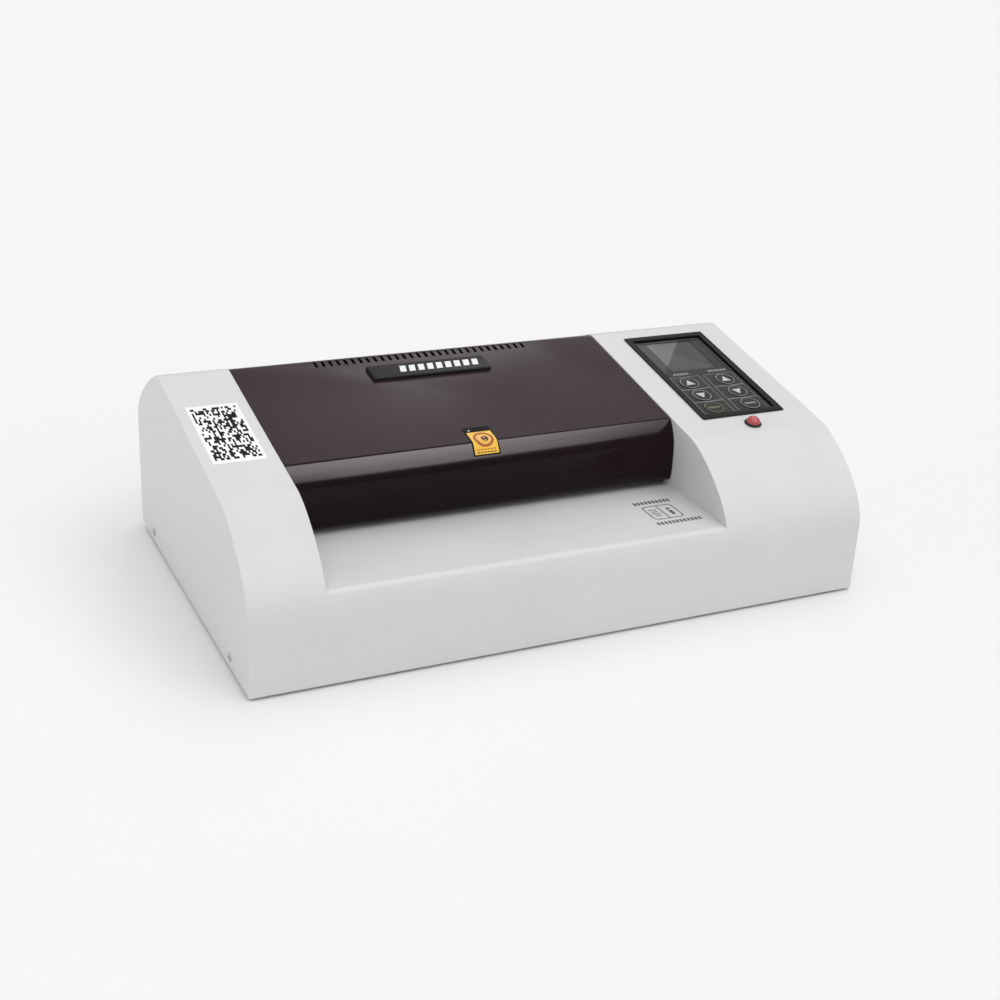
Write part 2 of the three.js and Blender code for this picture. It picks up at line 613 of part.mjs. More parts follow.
// ---------- drive ----------
const MOTOR = {
  face: 159, plate: 2, plateRadius: 30, radius: 27, length: 42, shaft: 4, bore: 12, postRadius: 25,
};
const MOTOR_POSTS = [150, 230, 320].map(THREE.MathUtils.degToRad).map(
  (angle) => [PINION.y + MOTOR.postRadius * Math.cos(angle), PINION.z + MOTOR.postRadius * Math.sin(angle)]);
const PINION_SHAFT = [144, 170];

piece('motor_pinion', join(
  gear(SMALL_TEETH, angles.pinion, 0, [PINION.y, PINION.z]),
  rod('x', MOTOR.shaft, PINION_SHAFT, [PINION.y, PINION.z], 16)), MATERIAL.steel);

piece('drive_motor', cut(
  join(
    rod('x', MOTOR.plateRadius, [MOTOR.face, MOTOR.face + MOTOR.plate], [PINION.y, PINION.z], 28),
    rod('x', MOTOR.radius, [MOTOR.face + 1, MOTOR.face + MOTOR.length], [PINION.y, PINION.z], 28)),
  rod('x', MOTOR.shaft + GAP, [MOTOR.face - 1, MOTOR.face + MOTOR.bore], [PINION.y, PINION.z], 16)),
MATERIAL.zinc);

// ---------- side frames, bearing blocks and springs ----------
const FRAME_Y = [111, 287];
const FRAME_TOE = 94; // the frames reach this far forward low down, for the motor
const RAIL_Z = [118, 120];
const RAIL_HALF = 6;
const FOOT_FLANGE = 13; // width of the flange at the foot of each frame
const TOE_TOP = 65; // the frames' front edge steps back between these two heights
const STEP_TOP = 82;
const BLOCK = { halfX: 3, halfY: 10.5, halfZ: 9 };
const SLOT_HALF = 8.3;
const SLOT_BOTTOM = UPPER_Z - 10;
const SPRING = { outer: 5.5, inner: 4.1 };
const TIE = { y: 116, z: 112, radius: 4 };

function sideFrame(middle, outward) {
  const sheet = [middle - FRAME_HALF, middle + FRAME_HALF];
  const flange = outward < 0
    ? [middle - FOOT_FLANGE, middle + FRAME_HALF]
    : [middle - FRAME_HALF, middle + FOOT_FLANGE];
  const journals = Object.values(ROLLER_Y).map(
    (y) => rod('x', SHAFT + GAP, [sheet[0] - 1, sheet[1] + 1], [y, LOWER_Z], 16));
  const slots = Object.values(ROLLER_Y).map(
    (y) => block([sheet[0] - 1, sheet[1] + 1], [y - SLOT_HALF, y + SLOT_HALF], [SLOT_BOTTOM, RAIL_Z[0]]));
  const [front, back] = FRAME_Y;
  const base = PAN + GAP;
  const outline = [[FRAME_TOE, base], [back, base], [back, RAIL_Z[1]], [front, RAIL_Z[1]], [front, STEP_TOP],
    [FRAME_TOE, TOE_TOP]].map(([y, z]) => new THREE.Vector2(y, z));
  const plain = join(
    prism(outline, sheet),
    block(flange, [FRAME_TOE, back], [base, base + 2 * FRAME_HALF]),
    block([middle - RAIL_HALF, middle + RAIL_HALF], FRAME_Y, RAIL_Z));
  return cut(plain, ...journals, ...slots);
}

function rightFrame() {
  const from = FRAME_RIGHT;
  const studs = Object.values(IDLERS).map((place) => rod('x', STUD, [from, GEAR_X[1] + 1], place, 12));
  const posts = MOTOR_POSTS.map((place) => rod('x', STUD, [from, MOTOR.face - GAP], place, 12));
  return join(sideFrame(FRAME_RIGHT, 1), ...studs, ...posts);
}

piece('side_frame_left', sideFrame(FRAME_LEFT, -1), MATERIAL.zinc);
piece('side_frame_right', rightFrame(), MATERIAL.zinc);
piece('cross_tie', rod('x', TIE.radius, [FRAME_LEFT + FRAME_HALF + GAP, FRAME_RIGHT - FRAME_HALF - GAP],
  [TIE.y, TIE.z], 12), MATERIAL.steel);

// sliding block with a groove on either side for the edges of the frame's slot
function bearingBlock(x, y) {
  const groove = [x - FRAME_HALF - GAP, x + FRAME_HALF + GAP];
  const edge = SLOT_HALF - GAP;
  const height = [UPPER_Z - BLOCK.halfZ, UPPER_Z + BLOCK.halfZ];
  const beyond = [height[0] - 1, height[1] + 1];
  return cut(
    block([x - BLOCK.halfX, x + BLOCK.halfX], [y - BLOCK.halfY, y + BLOCK.halfY], height),
    block(groove, [y - BLOCK.halfY - 1, y - edge], beyond),
    block(groove, [y + edge, y + BLOCK.halfY + 1], beyond),
    rod('x', SHAFT + GAP, [x - BLOCK.halfX - 1, x + BLOCK.halfX + 1], [y, UPPER_Z], 16));
}

// outer shape of a compression spring between a block and the rail above it
function pressureSpring(x, y) {
  const [z0, z1] = [UPPER_Z + BLOCK.halfZ + GAP, RAIL_Z[0] - GAP];
  return cut(
    rod('z', SPRING.outer, [z0, z1], [x, y], 12),
    rod('z', SPRING.inner, [z0 - 1, z1 + 1], [x, y], 12));
}

for (const [name, y] of Object.entries(ROLLER_Y)) {
  for (const [end, x] of [['left', FRAME_LEFT], ['right', FRAME_RIGHT]]) {
    piece(`bearing_block_${name}_${end}`, bearingBlock(x, y), MATERIAL.nylon);
    piece(`pressure_spring_${name}_${end}`, pressureSpring(x, y), MATERIAL.steel);
  }
}

// ---------- heater shoes ----------
const SHOE_Y = [178, 278];
const SHOE_X = [-203.5, 131];
const RIB_Y = [219, 237];
const LOWER_SHOE = { z: [34, 52], rib: [34, 44], clearance: 1.2 };
const UPPER_SHOE = { z: [101.6, RAIL_Z[0] - GAP], rib: [108, RAIL_Z[0] - GAP], clearance: LIFT + 0.9 };
const hotRollers = [ROLLER_Y.middle, ROLLER_Y.rear];

function heaterShoe({ z, rib: ribZ, clearance }, rollerZ) {
  const wells = hotRollers.map((y) => rod('x', ROLLER_RADIUS + clearance, [SHOE_X[0] - 1, SHOE_X[1] + 1],
    [y, rollerZ], 32));
  const rib = block([FRAME_LEFT + FRAME_HALF + GAP, FRAME_RIGHT - FRAME_HALF - GAP], RIB_Y, ribZ);
  return join(cut(block(SHOE_X, SHOE_Y, z), ...wells), rib);
}

piece('heater_lower', heaterShoe(LOWER_SHOE, LOWER_Z), MATERIAL.aluminium);
piece('heater_upper', heaterShoe(UPPER_SHOE, UPPER_Z), MATERIAL.aluminium);

export default laminator;
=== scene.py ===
"""Pouch laminator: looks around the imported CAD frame. Metres, +Z up, front towards -Y."""
import math
import random
from contextlib import contextmanager
from itertools import groupby

import bmesh
import bpy
from mathutils import Matrix, Vector


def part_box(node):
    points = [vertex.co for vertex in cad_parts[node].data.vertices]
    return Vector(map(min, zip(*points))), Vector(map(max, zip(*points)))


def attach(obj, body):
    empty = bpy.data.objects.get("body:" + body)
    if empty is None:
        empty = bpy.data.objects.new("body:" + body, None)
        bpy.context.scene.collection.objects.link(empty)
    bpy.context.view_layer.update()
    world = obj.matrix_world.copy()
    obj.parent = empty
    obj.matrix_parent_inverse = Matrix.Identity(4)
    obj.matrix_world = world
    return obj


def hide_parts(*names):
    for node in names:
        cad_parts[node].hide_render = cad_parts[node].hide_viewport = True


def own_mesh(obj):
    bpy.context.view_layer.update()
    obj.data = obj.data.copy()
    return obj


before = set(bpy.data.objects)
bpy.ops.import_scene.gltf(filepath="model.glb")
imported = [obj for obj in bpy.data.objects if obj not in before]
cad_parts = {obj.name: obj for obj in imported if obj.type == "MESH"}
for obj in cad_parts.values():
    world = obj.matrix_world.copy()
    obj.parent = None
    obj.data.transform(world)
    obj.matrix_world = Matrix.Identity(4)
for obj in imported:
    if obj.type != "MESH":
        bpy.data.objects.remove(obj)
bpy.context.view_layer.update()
MM = 0.001

# ---------- shared measures, in millimetres, in the casing's own frame ----------
# x is across, y counts back from the front wall and z up from the casing's lower edge.
SHELL_LOW, SHELL_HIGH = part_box("casing_shell")
HOUSING = Matrix.Translation((0, SHELL_LOW.y, SHELL_LOW.z)) @ Matrix.Scale(MM, 4)
END = round(SHELL_HIGH.x / MM, 2)
DEPTH = round((SHELL_HIGH.y - SHELL_LOW.y) / MM, 2)
COVER_X = [round(corner.x / MM, 2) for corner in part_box("top_cover")]
FIT = 0.4
THROAT = (COVER_X[0] - FIT, COVER_X[1] + FIT)
SHEET = 1.2
SLOPE_RISE = 0.1937
SLOPE = math.atan(SLOPE_RISE)
RIDGE_Y = 250
RIDGE_SOFT = 6
REAR_WALL_TOP = 98
REAR_CORNER = 11
REAR_FALL = math.tan(math.radians(25))
REAR_BULGE = 26.8
REAR_REACH = 24
SLOPE_START = 68.6
FRONT_WALL_TOP = 58
PLATFORM_Z = 74.2
PLATFORM_END = 127.5
LIP_Z = 79
FASCIA_TOP = 102.2
COVER_DROP = 0.8
PANEL_X, PANEL_Y = 199.6, 162.25


def slope_z(y):
    return 128.2 + SLOPE_RISE * (y - 74)


def cover_z(y):
    return slope_z(y) - COVER_DROP


def on_slope(x, y, drop=0.0):
    """Frame on the sloping top: u to the right, v up the slope and w out of the surface, in millimetres."""
    return HOUSING @ Matrix.Translation((x, y, slope_z(y) - drop)) @ Matrix.Rotation(SLOPE, 4, "X")


PANEL = on_slope(PANEL_X, PANEL_Y)


def on_panel(u, v):
    return PANEL @ Matrix.Translation((u, v, 0))


def stand(x, y, z, turn=Matrix.Identity(4)):
    """Turned frame in millimetres, at a place in metres."""
    return Matrix.Translation((x, y, z)) @ turn @ Matrix.Scale(MM, 4)


# ---------- curves ----------
def bezier(p0, p1, p2, p3, steps):
    """Points along a cubic curve, without its first one."""
    points = []
    for i in range(1, steps + 1):
        t = i / steps
        s = 1 - t
        weights = (s**3, 3 * s * s * t, 3 * s * t * t, t**3)
        points.append(tuple(sum(w * p[k] for w, p in zip(weights, (p0, p1, p2, p3))) for k in (0, 1)))
    return points


def quadratic(p0, p1, p2, steps):
    first = tuple(p0[k] + (p1[k] - p0[k]) * 2 / 3 for k in (0, 1))
    second = tuple(p2[k] + (p1[k] - p2[k]) * 2 / 3 for k in (0, 1))
    return bezier(p0, first, second, p2, steps)


def arc(centre, radius, start, end, steps):
    """Points on an arc, angles in degrees, both ends included."""
    angles = [math.radians(start + (end - start) * i / steps) for i in range(steps + 1)]
    return [(centre[0] + radius * math.cos(a), centre[1] + radius * math.sin(a)) for a in angles]


def normal(a, b):
    """Unit vector to the left of the way from a to b."""
    dx, dy = b[0] - a[0], b[1] - a[1]
    length = math.hypot(dx, dy)
    return -dy / length, dx / length


def offset(points, distance, closed):
    """Moves an outline to its left by a distance."""
    moved = []
    count = len(points)
    for i, p in enumerate(points):
        before = normal(points[i - 1], p) if closed or i > 0 else normal(p, points[i + 1])
        after = normal(p, points[(i + 1) % count]) if closed or i < count - 1 else before
        reach = distance / (1 + before[0] * after[0] + before[1] * after[1])
        moved.append((p[0] + (before[0] + after[0]) * reach, p[1] + (before[1] + after[1]) * reach))
    return moved


def over_ridge(drop, steps):
    """Side view of the top: from the head of the rear wall, over the ridge, to the start of the slope."""
    ridge_z = slope_z(RIDGE_Y) - drop
    back = (RIDGE_Y + RIDGE_SOFT, ridge_z - RIDGE_SOFT * REAR_FALL)
    front = (RIDGE_Y - RIDGE_SOFT, ridge_z - RIDGE_SOFT * SLOPE_RISE)
    start = (DEPTH - drop, REAR_WALL_TOP)
    low_handle = (start[0], start[1] + REAR_BULGE)
    high_handle = (RIDGE_Y + REAR_REACH, ridge_z - REAR_REACH * REAR_FALL)
    points = [start]
    points += bezier(start, low_handle, high_handle, back, steps)
    points += quadratic(back, (RIDGE_Y, ridge_z), front, steps // 3)
    return points


def wing_outline(steps=36):
    start = (SLOPE_START, slope_z(SLOPE_START))
    points = over_ridge(0, steps) + [start]
    points += bezier(start, (49.2, 123.4), (0, 89.6), (0, FRONT_WALL_TOP), steps)
    points.append((0, 0))
    points += arc((DEPTH - REAR_CORNER, REAR_CORNER), REAR_CORNER, -90, 0, 10)
    return points


def fascia_brow():
    """The dark strip's brow in (y, z): from the crease at the cover's edge, over and down."""
    crease = (FASCIA_TOP, cover_z(FASCIA_TOP))
    return [crease, *bezier(crease, (96.8, 126.4), (92.6, 118), (92.4, 110.4), 24)]


# ---------- mesh building ----------
def give(thing, **values):
    """Sets several properties of one thing."""
    for key, value in values.items():
        setattr(thing, key, value)
    return thing


def in_scene(name, data):
    thing = bpy.data.objects.new(name, data)
    bpy.context.scene.collection.objects.link(thing)
    return thing


@contextmanager
def edited(mesh):
    work = bmesh.new()
    work.from_mesh(mesh)
    yield work
    work.to_mesh(mesh)
    work.free()


def new_object(name, vertices, faces, place=HOUSING):
    mesh = bpy.data.meshes.new(name)
    mesh.from_pydata([tuple(place @ Vector(v)) for v in vertices], [], faces)
    piece = in_scene(name, mesh)
    with edited(mesh) as work:
        bmesh.ops.remove_doubles(work, verts=work.verts, dist=1e-7)
        bmesh.ops.recalc_face_normals(work, faces=work.faces)
    return piece


def smooth(piece, angle=32):
    """Smooth shading, sharp where faces meet at more than an angle in degrees."""
    mesh = piece.data
    mesh.polygons.foreach_set("use_smooth", [True] * len(mesh.polygons))
    mesh.set_sharp_from_angle(angle=math.radians(angle))


def apply_modifiers(piece):
    graph = bpy.context.evaluated_depsgraph_get()
    graph.update()
    mesh = bpy.data.meshes.new_from_object(piece.evaluated_get(graph))
    piece.modifiers.clear()
    piece.data = mesh


def boolean(piece, cutter, operation="DIFFERENCE"):
    give(piece.modifiers.new("cut", "BOOLEAN"), operation=operation, object=cutter, solver="EXACT")
    apply_modifiers(piece)
    bpy.data.objects.remove(cutter)


def weigh_edges(mesh, angle, weights):
    """Gives each outer edge sharper than an angle its bevel weight, weights(a, b)."""
    with edited(mesh) as work:
        layers = work.edges.layers.float
        layer = layers.get("bevel_weight_edge") or layers.new("bevel_weight_edge")
        for edge in work.edges:
            if len(edge.link_faces) == 2 and edge.calc_face_angle_signed() > math.radians(angle):
                edge[layer] = weights(edge.verts[0].co, edge.verts[1].co)


def bevel(piece, width, segments=3, angle=30, weights=None):
    """Rounds sharp edges by a width in millimetres; weights(a, b) gives each edge its share of it."""
    modifier = give(piece.modifiers.new("bevel", "BEVEL"), width=width * MM, segments=segments,
                    harden_normals=False, miter_outer="MITER_ARC")
    if weights is None:
        give(modifier, limit_method="ANGLE", angle_limit=math.radians(angle))
    else:
        give(modifier, limit_method="WEIGHT", use_clamp_overlap=False)
        weigh_edges(piece.data, angle, weights)
    apply_modifiers(piece)


def between(name, vertices, place):
    """A solid between two outlines of the same length, one after the other in the vertices."""
    count = len(vertices) // 2
    faces = [list(range(count)), list(range(2 * count - 1, count - 1, -1))]
    faces += [(i, (i + 1) % count, count + (i + 1) % count, count + i) for i in range(count)]
    return new_object(name, vertices, faces, place)


def prism(name, outline, x0, x1):
    """An outline in (y, z), carried along x."""
    return between(name, [(x, y, z) for x in (x0, x1) for y, z in outline], HOUSING)


def slab(name, outline, w0, w1, place):
    """An outline in (u, v) with a thickness from w0 to w1."""
    return between(name, [(u, v, w) for w in (w0, w1) for u, v in outline], place)


def box(name, xs, ys, zs):
    corners = [(x, y, z) for x in xs for y in ys for z in zs]
    faces = [(0, 1, 3, 2), (4, 6, 7, 5), (0, 4, 5, 1), (2, 3, 7, 6), (0, 2, 6, 4), (1, 5, 7, 3)]
    return new_object(name, corners, faces)


def bent_sheet(name, path, thickness, x0, x1):
    """A folded sheet: an open path in (y, z), thickened to its left and carried along x."""
    inner = offset(path, thickness, closed=False)
    count = len(path)
    vertices = [(x, y, z) for x in (x0, x1) for side in (path, inner) for y, z in side]
    faces = []
    for i in range(count - 1):
        outer, inside = i, count + i
        far = 2 * count
        faces.append((outer, outer + 1, far + outer + 1, far + outer))
        faces.append((inside, inside + 1, far + inside + 1, far + inside))
        for end in (0, far):
            faces.append((end + outer, end + outer + 1, end + inside + 1, end + inside))
    for i in (0, count - 1):
        faces.append((i, count + i, 3 * count + i, 2 * count + i))
    return new_object(name, vertices, faces)


def turned(name, profile, place, sides=48):
    """Turns a profile of (radius, height) about the w axis; a profile off the axis closes on itself."""
    closed = profile[0][0] > 0 and profile[-1][0] > 0
    vertices, rings = [], []
    for radius, height in profile:
        if radius == 0:
            rings.append([len(vertices)])
            vertices.append((0, 0, height))
            continue
        rings.append(list(range(len(vertices), len(vertices) + sides)))
        angles = [2 * math.pi * i / sides for i in range(sides)]
        vertices += [(radius * math.cos(a), radius * math.sin(a), height) for a in angles]
    faces = []
    for a, b in zip(rings, rings[1:] + ([rings[0]] if closed else [])):
        for i in range(sides):
            j = (i + 1) % sides
            corners = [a[i % len(a)], a[j % len(a)], b[j % len(b)], b[i % len(b)]]
            faces.append(list(dict.fromkeys(corners)))
    return new_object(name, vertices, [f for f in faces if len(f) > 2], place)


def rounded(half_u, half_v, radius, steps=5, centre=(0, 0)):
    """Rectangle with round corners, counter-clockwise."""
    points = []
    for su, sv, start in ((1, 1, 0), (-1, 1, 90), (-1, -1, 180), (1, -1, 270)):
        corner = (centre[0] + su * (half_u - radius), centre[1] + sv * (half_v - radius))
        points += arc(corner, radius, start, start + 90, steps)
    return points


def loft(name, rings, place, closed=False):
    """Joins outlines of equal length, each with its own height, into one skin."""
    count = len(rings[0][0])
    vertices = [(u, v, w) for outline, w in rings for u, v in outline]
    faces = []
    pairs = [(i, i + 1) for i in range(len(rings) - 1)] + ([(len(rings) - 1, 0)] if closed else [])
    for a, b in pairs:
        for i in range(count):
            j = (i + 1) % count
            faces.append((a * count + i, a * count + j, b * count + j, b * count + i))
    if not closed:
        faces += [list(range(count)), list(range((len(rings) - 1) * count, len(rings) * count))]
    return new_object(name, vertices, faces, place)


def join(name, pieces):
    """Makes one object of several."""
    work = bmesh.new()
    materials = []
    for piece in pieces:
        start = len(work.faces)
        work.from_mesh(piece.data)
        work.faces.ensure_lookup_table()
        for face in work.faces[start:]:
            own = piece.data.materials[face.material_index] if piece.data.materials else None
            if own not in materials:
                materials.append(own)
            face.material_index = materials.index(own)
        bpy.data.objects.remove(piece)
    mesh = bpy.data.meshes.new(name)
    work.to_mesh(mesh)
    work.free()
    for own in materials:
        mesh.materials.append(own)
    return in_scene(name, mesh)


# ---------- materials ----------
class Nodes:
    """Short hand for building the node tree of a material or a world."""

    def __init__(self, owner):
        owner.use_nodes = True
        self.owner = owner
        self.tree = owner.node_tree
        self.shader = self.tree.nodes.get("Principled BSDF") or self.tree.nodes["Background"]

    def feed(self, socket, value):
        """Gives a socket a value, or links it to another socket."""
        if isinstance(value, bpy.types.NodeSocket):
            self.tree.links.new(value, socket)
        else:
            socket.default_value = value

    def feed_all(self, node, inputs):
        for name, value in inputs.items():
            self.feed(node.inputs[name], value)
        return node

    def add(self, kind, inputs=(), **settings):
        return self.feed_all(give(self.tree.nodes.new(kind), **settings), dict(inputs))

    def math(self, operation, first, second=0.0):
        return self.add("ShaderNodeMath", enumerate((first, second)), operation=operation).outputs[0]

    def noise(self, scale, detail=2.0, roughness=0.5, stretch=(1, 1, 1)):
        place = self.add("ShaderNodeTexCoord").outputs["Object"]
        mapped = self.add("ShaderNodeMapping", {"Vector": place, "Scale": stretch}).outputs["Vector"]
        inputs = {"Vector": mapped, "Scale": scale, "Detail": detail, "Roughness": roughness}
        return self.add("ShaderNodeTexNoise", inputs).outputs["Fac"]

    def spread(self, value, low, high, start=0.3, end=0.7, **settings):
        """Maps one range to another; by default the middle of a noise."""
        inputs = {"Value": value, "From Min": start, "From Max": end, "To Min": low, "To Max": high}
        return self.add("ShaderNodeMapRange", inputs, **settings).outputs["Result"]

    def colours(self, value, dark, light):
        inputs = {"Factor": self.spread(value, 0, 1), "A": (*dark, 1), "B": (*light, 1)}
        return self.add("ShaderNodeMix", inputs, data_type="RGBA").outputs["Result"]

    def bump(self, value, depth, under=None):
        inputs = {"Height": value, "Distance": depth * MM}
        if under is not None:
            inputs["Normal"] = under
        return self.add("ShaderNodeBump", inputs).outputs["Normal"]

    def shade(self, inputs):
        self.feed_all(self.shader, inputs)
        return self.owner


def grey(level):
    return level, level, level


def surface(name, dark, light, gloss, grain, depth, patch=14.0, metallic=0.0, specular=0.5,
            stretch=(1, 1, 1), fixed=()):
    """Colour wanders between two tones in patches. Grain is the bump's scale, depth its height in mm."""
    nodes = Nodes(bpy.data.materials.new(name))
    wide = nodes.noise(patch, 4, 0.6, stretch)
    fine = nodes.noise(grain, 3, 0.6, stretch)
    rough = nodes.math("ADD", nodes.spread(wide, *gloss), nodes.spread(fine, -0.03, 0.03))
    coarse = nodes.bump(nodes.noise(grain * 0.22, 2), depth * 1.5)
    return nodes.shade({"Base Color": nodes.colours(wide, dark, light), "Roughness": rough,
                        "Normal": nodes.bump(fine, depth, coarse), "Metallic": metallic,
                        "Specular IOR Level": specular, **dict(fixed)})


def printed(name, dark, light, gloss=(0.45, 0.55), patch=60, specular=0.5):
    return surface(name, dark, light, gloss, 4000, 0.003, patch, specular=specular)


WHITE = surface("white_powder_coat", grey(0.605), grey(0.635), (0.36, 0.46), 900, 0.01)
BROWN = surface("brown_powder_coat", (0.031, 0.017, 0.0225), (0.038, 0.0225, 0.028), (0.22, 0.27),
                1300, 0.004, 9, specular=0.16)
FASCIA = surface("brown_gloss_strip", (0.0022, 0.0008, 0.001), (0.003, 0.0013, 0.0015), (0.1, 0.13),
                 1100, 0.002, 9, specular=0.12)
BLACK = surface("black_moulded", (0.007, 0.007, 0.008), (0.011, 0.011, 0.012), (0.36, 0.48),
                2200, 0.012, 30, specular=0.3)
BEZEL = surface("black_bezel", (0.0035, 0.0035, 0.004), (0.006, 0.006, 0.0065), (0.34, 0.44),
                2200, 0.01, 30, specular=0.14)
BADGE = surface("black_badge", (0.01, 0.0095, 0.0095), (0.015, 0.014, 0.014), (0.32, 0.42),
                2200, 0.01, 30, specular=0.2)
KEY = surface("key_film", (0.01, 0.01, 0.0105), (0.014, 0.014, 0.0145), (0.28, 0.36),
              3000, 0.004, 40, specular=0.25)
PRINT = printed("grey_print", (0.22, 0.22, 0.23), (0.28, 0.28, 0.29))
GREY_PRINT = printed("line_print", (0.17, 0.17, 0.175), (0.22, 0.22, 0.225), (0.4, 0.5))
ARROW = printed("light_print", grey(0.44), grey(0.52))
OLIVE = printed("olive_print", (0.15, 0.14, 0.06), (0.2, 0.18, 0.08))
INK = printed("black_ink", (0.004, 0.003, 0.003), (0.007, 0.006, 0.005), (0.48, 0.6), 80, 0.12)
GREY_INK = printed("grey_ink", grey(0.075), grey(0.105), (0.48, 0.6), 80)
DARK_INK = printed("brown_ink", (0.045, 0.012, 0.004), (0.065, 0.018, 0.006), (0.48, 0.6), 80)
CREAM = printed("cream_ink", (0.78, 0.4, 0.1), (0.84, 0.47, 0.14), (0.42, 0.52), 80)
PAPER = surface("white_label", (0.82, 0.82, 0.83), (0.88, 0.88, 0.89), (0.32, 0.42), 2600, 0.004, 50)
YELLOW = surface("yellow_label", (0.74, 0.42, 0.012), (0.82, 0.5, 0.024), (0.28, 0.36), 2600, 0.004, 60)
ORANGE = surface("orange_ink", (0.3, 0.045, 0.003), (0.4, 0.075, 0.006), (0.35, 0.45), 2600, 0.004, 60)
SILVER = surface("silver_print", (0.62, 0.63, 0.64), (0.74, 0.75, 0.76), (0.3, 0.42), 2600, 0.006, 90, 0.6)
ZINC = surface("zinc_plate", (0.42, 0.43, 0.42), (0.56, 0.57, 0.55), (0.3, 0.44), 700, 0.008, 26, 1.0)
STEEL = surface("ground_steel", (0.5, 0.5, 0.51), (0.62, 0.62, 0.63), (0.2, 0.32),
                900, 0.006, 40, 1.0, stretch=(0.06, 1, 1))
ALUMINIUM = surface("mill_aluminium", (0.6, 0.61, 0.62), (0.7, 0.71, 0.72), (0.3, 0.42),
                    900, 0.008, 30, 1.0, stretch=(0.05, 1, 1))
SILICONE = surface("red_silicone", (0.3, 0.075, 0.045), (0.36, 0.1, 0.06), (0.5, 0.64), 1500, 0.012, 24)
NYLON = surface("natural_nylon", (0.66, 0.62, 0.5), (0.74, 0.71, 0.6), (0.36, 0.48), 1300, 0.012, 40)
RUBBER = surface("black_rubber", grey(0.014), grey(0.026), (0.66, 0.82), 1600, 0.03, 60)
BOARD = surface("solder_resist", (0.012, 0.095, 0.045), (0.02, 0.13, 0.06), (0.28, 0.4), 1800, 0.006, 60)
LENS = surface("red_lens", (0.38, 0.033, 0.04), (0.47, 0.05, 0.056), (0.1, 0.16), 1200, 0.002, 120,
               fixed={"Coat Weight": 0.6, "Coat Roughness": 0.06, "Subsurface Weight": 0.25})


def painted_glare_film(name, tones, glare, gloss):
    """Dark film, toned from low to high on the panel, and paler left of the panel's line of glare: that paler
    part is a painted reflection in the colour.
    """
    nodes = Nodes(bpy.data.materials.new(name))
    flat = PANEL.inverted()
    place = nodes.add("ShaderNodeTexCoord").outputs["Object"]

    def measure(row, shift):
        dot = nodes.add("ShaderNodeVectorMath", enumerate((place, row.xyz)), operation="DOT_PRODUCT")
        return nodes.math("ADD", dot.outputs["Value"], row.w + shift)

    beside = measure(flat[0] - flat[1] * GLARE_LEAN, GLARE_LEAN * GLARE_V - GLARE_U)
    tone = nodes.spread(measure(flat[1], 0), *tones, -RECESS[1], RECESS[1])
    # Painted reflection: the colour is raised by the glare amount left of the glare line.
    toned = nodes.math("ADD", tone, nodes.spread(beside, glare, 0, -0.3, 0.3))
    varied = nodes.spread(nodes.noise(70, 3), 0.94, 1.06)
    return nodes.shade({"Base Color": nodes.math("MULTIPLY", toned, varied),
                        "Roughness": nodes.spread(nodes.noise(60, 3), *gloss),
                        "Normal": nodes.bump(nodes.noise(2400, 2), 0.003), "Specular IOR Level": 0.25})


def clad(piece, material, slot, *nodes, body="root", angle=32):
    """Material, shading, body and the CAD nodes that the piece stands for. A print stands for none."""
    if not piece.data.materials:
        piece.data.materials.append(material)
    smooth(piece, angle)
    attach(piece, body)
    if nodes:
        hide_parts(*nodes)
    return piece


def dress(node, material, width=0.0, segments=2, angle=32):
    """Material and rounded edges on a CAD node that stays."""
    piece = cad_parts[node]
    piece.data.materials.clear()
    piece.data.materials.append(material)
    smooth(piece, angle)
    if width:
        give(piece.modifiers.new("edges", "BEVEL"), width=width * MM, segments=segments,
             limit_method="ANGLE", angle_limit=math.radians(40))


# ---------- casing ----------
FLANGE = 9


def throat_outline(outline, above):
    """What is cut away between the wings: all above the platform and its soft crease, and all behind."""
    soft = 5
    run_out = 30
    centre_z = PLATFORM_Z - soft
    inner = offset(outline, soft, closed=True)
    centre_y = next(a[0] + (b[0] - a[0]) * (centre_z - a[1]) / (b[1] - a[1]) for a, b in zip(inner, inner[1:])
                    if b[1] <= centre_z < a[1] and a[0] < 40)
    touch = min(outline, key=lambda p: math.dist(p, (centre_y, centre_z)))
    direction = math.degrees(math.atan2(touch[1] - centre_z, touch[0] - centre_y))
    crease = arc((centre_y, centre_z), soft, 90, direction, 10)
    end_y = crease[-1][0] + run_out * math.cos(math.radians(direction))
    end_z = crease[-1][1] + run_out * math.sin(math.radians(direction))
    return [(PLATFORM_END, PLATFORM_Z), *crease, (end_y, end_z), (end_y, above), (DEPTH + 1, above),
            (DEPTH + 1, -1), (PLATFORM_END, -1)]


def split(piece, co, no):
    """Adds edges where a plane cuts a piece; the shape stays as it is."""
    with edited(piece.data) as work:
        geometry = [*work.verts, *work.edges, *work.faces]
        bmesh.ops.bisect_plane(work, geom=geometry, dist=1e-7, plane_co=co, plane_no=no)


def even_normals(piece):
    """Lets the large faces decide the shading beside the rounded edges."""
    give(piece.modifiers.new("even", "WEIGHTED_NORMAL"), keep_sharp=True, weight=100)


def casing_room(outline, above):
    """The room inside the shell. It leaves one sheet under the platform and beside the throat."""
    walls = (THROAT[0] - SHEET, THROAT[1] + SHEET)
    width = (-END + SHEET, END - SHEET)
    room = prism("hollow", offset(outline, SHEET, closed=True), *width)
    bottom = box("bottom", width, (SHEET, DEPTH - REAR_CORNER), (-5, SHEET + 1))
    boolean(room, bottom, "UNION")
    boolean(room, box("throat_walls", walls, (-1, DEPTH + 1), (PLATFORM_Z - SHEET, above)))
    boolean(room, box("rear_flanges", walls, (DEPTH - FLANGE, DEPTH + 1), (-6, above)))
    return room


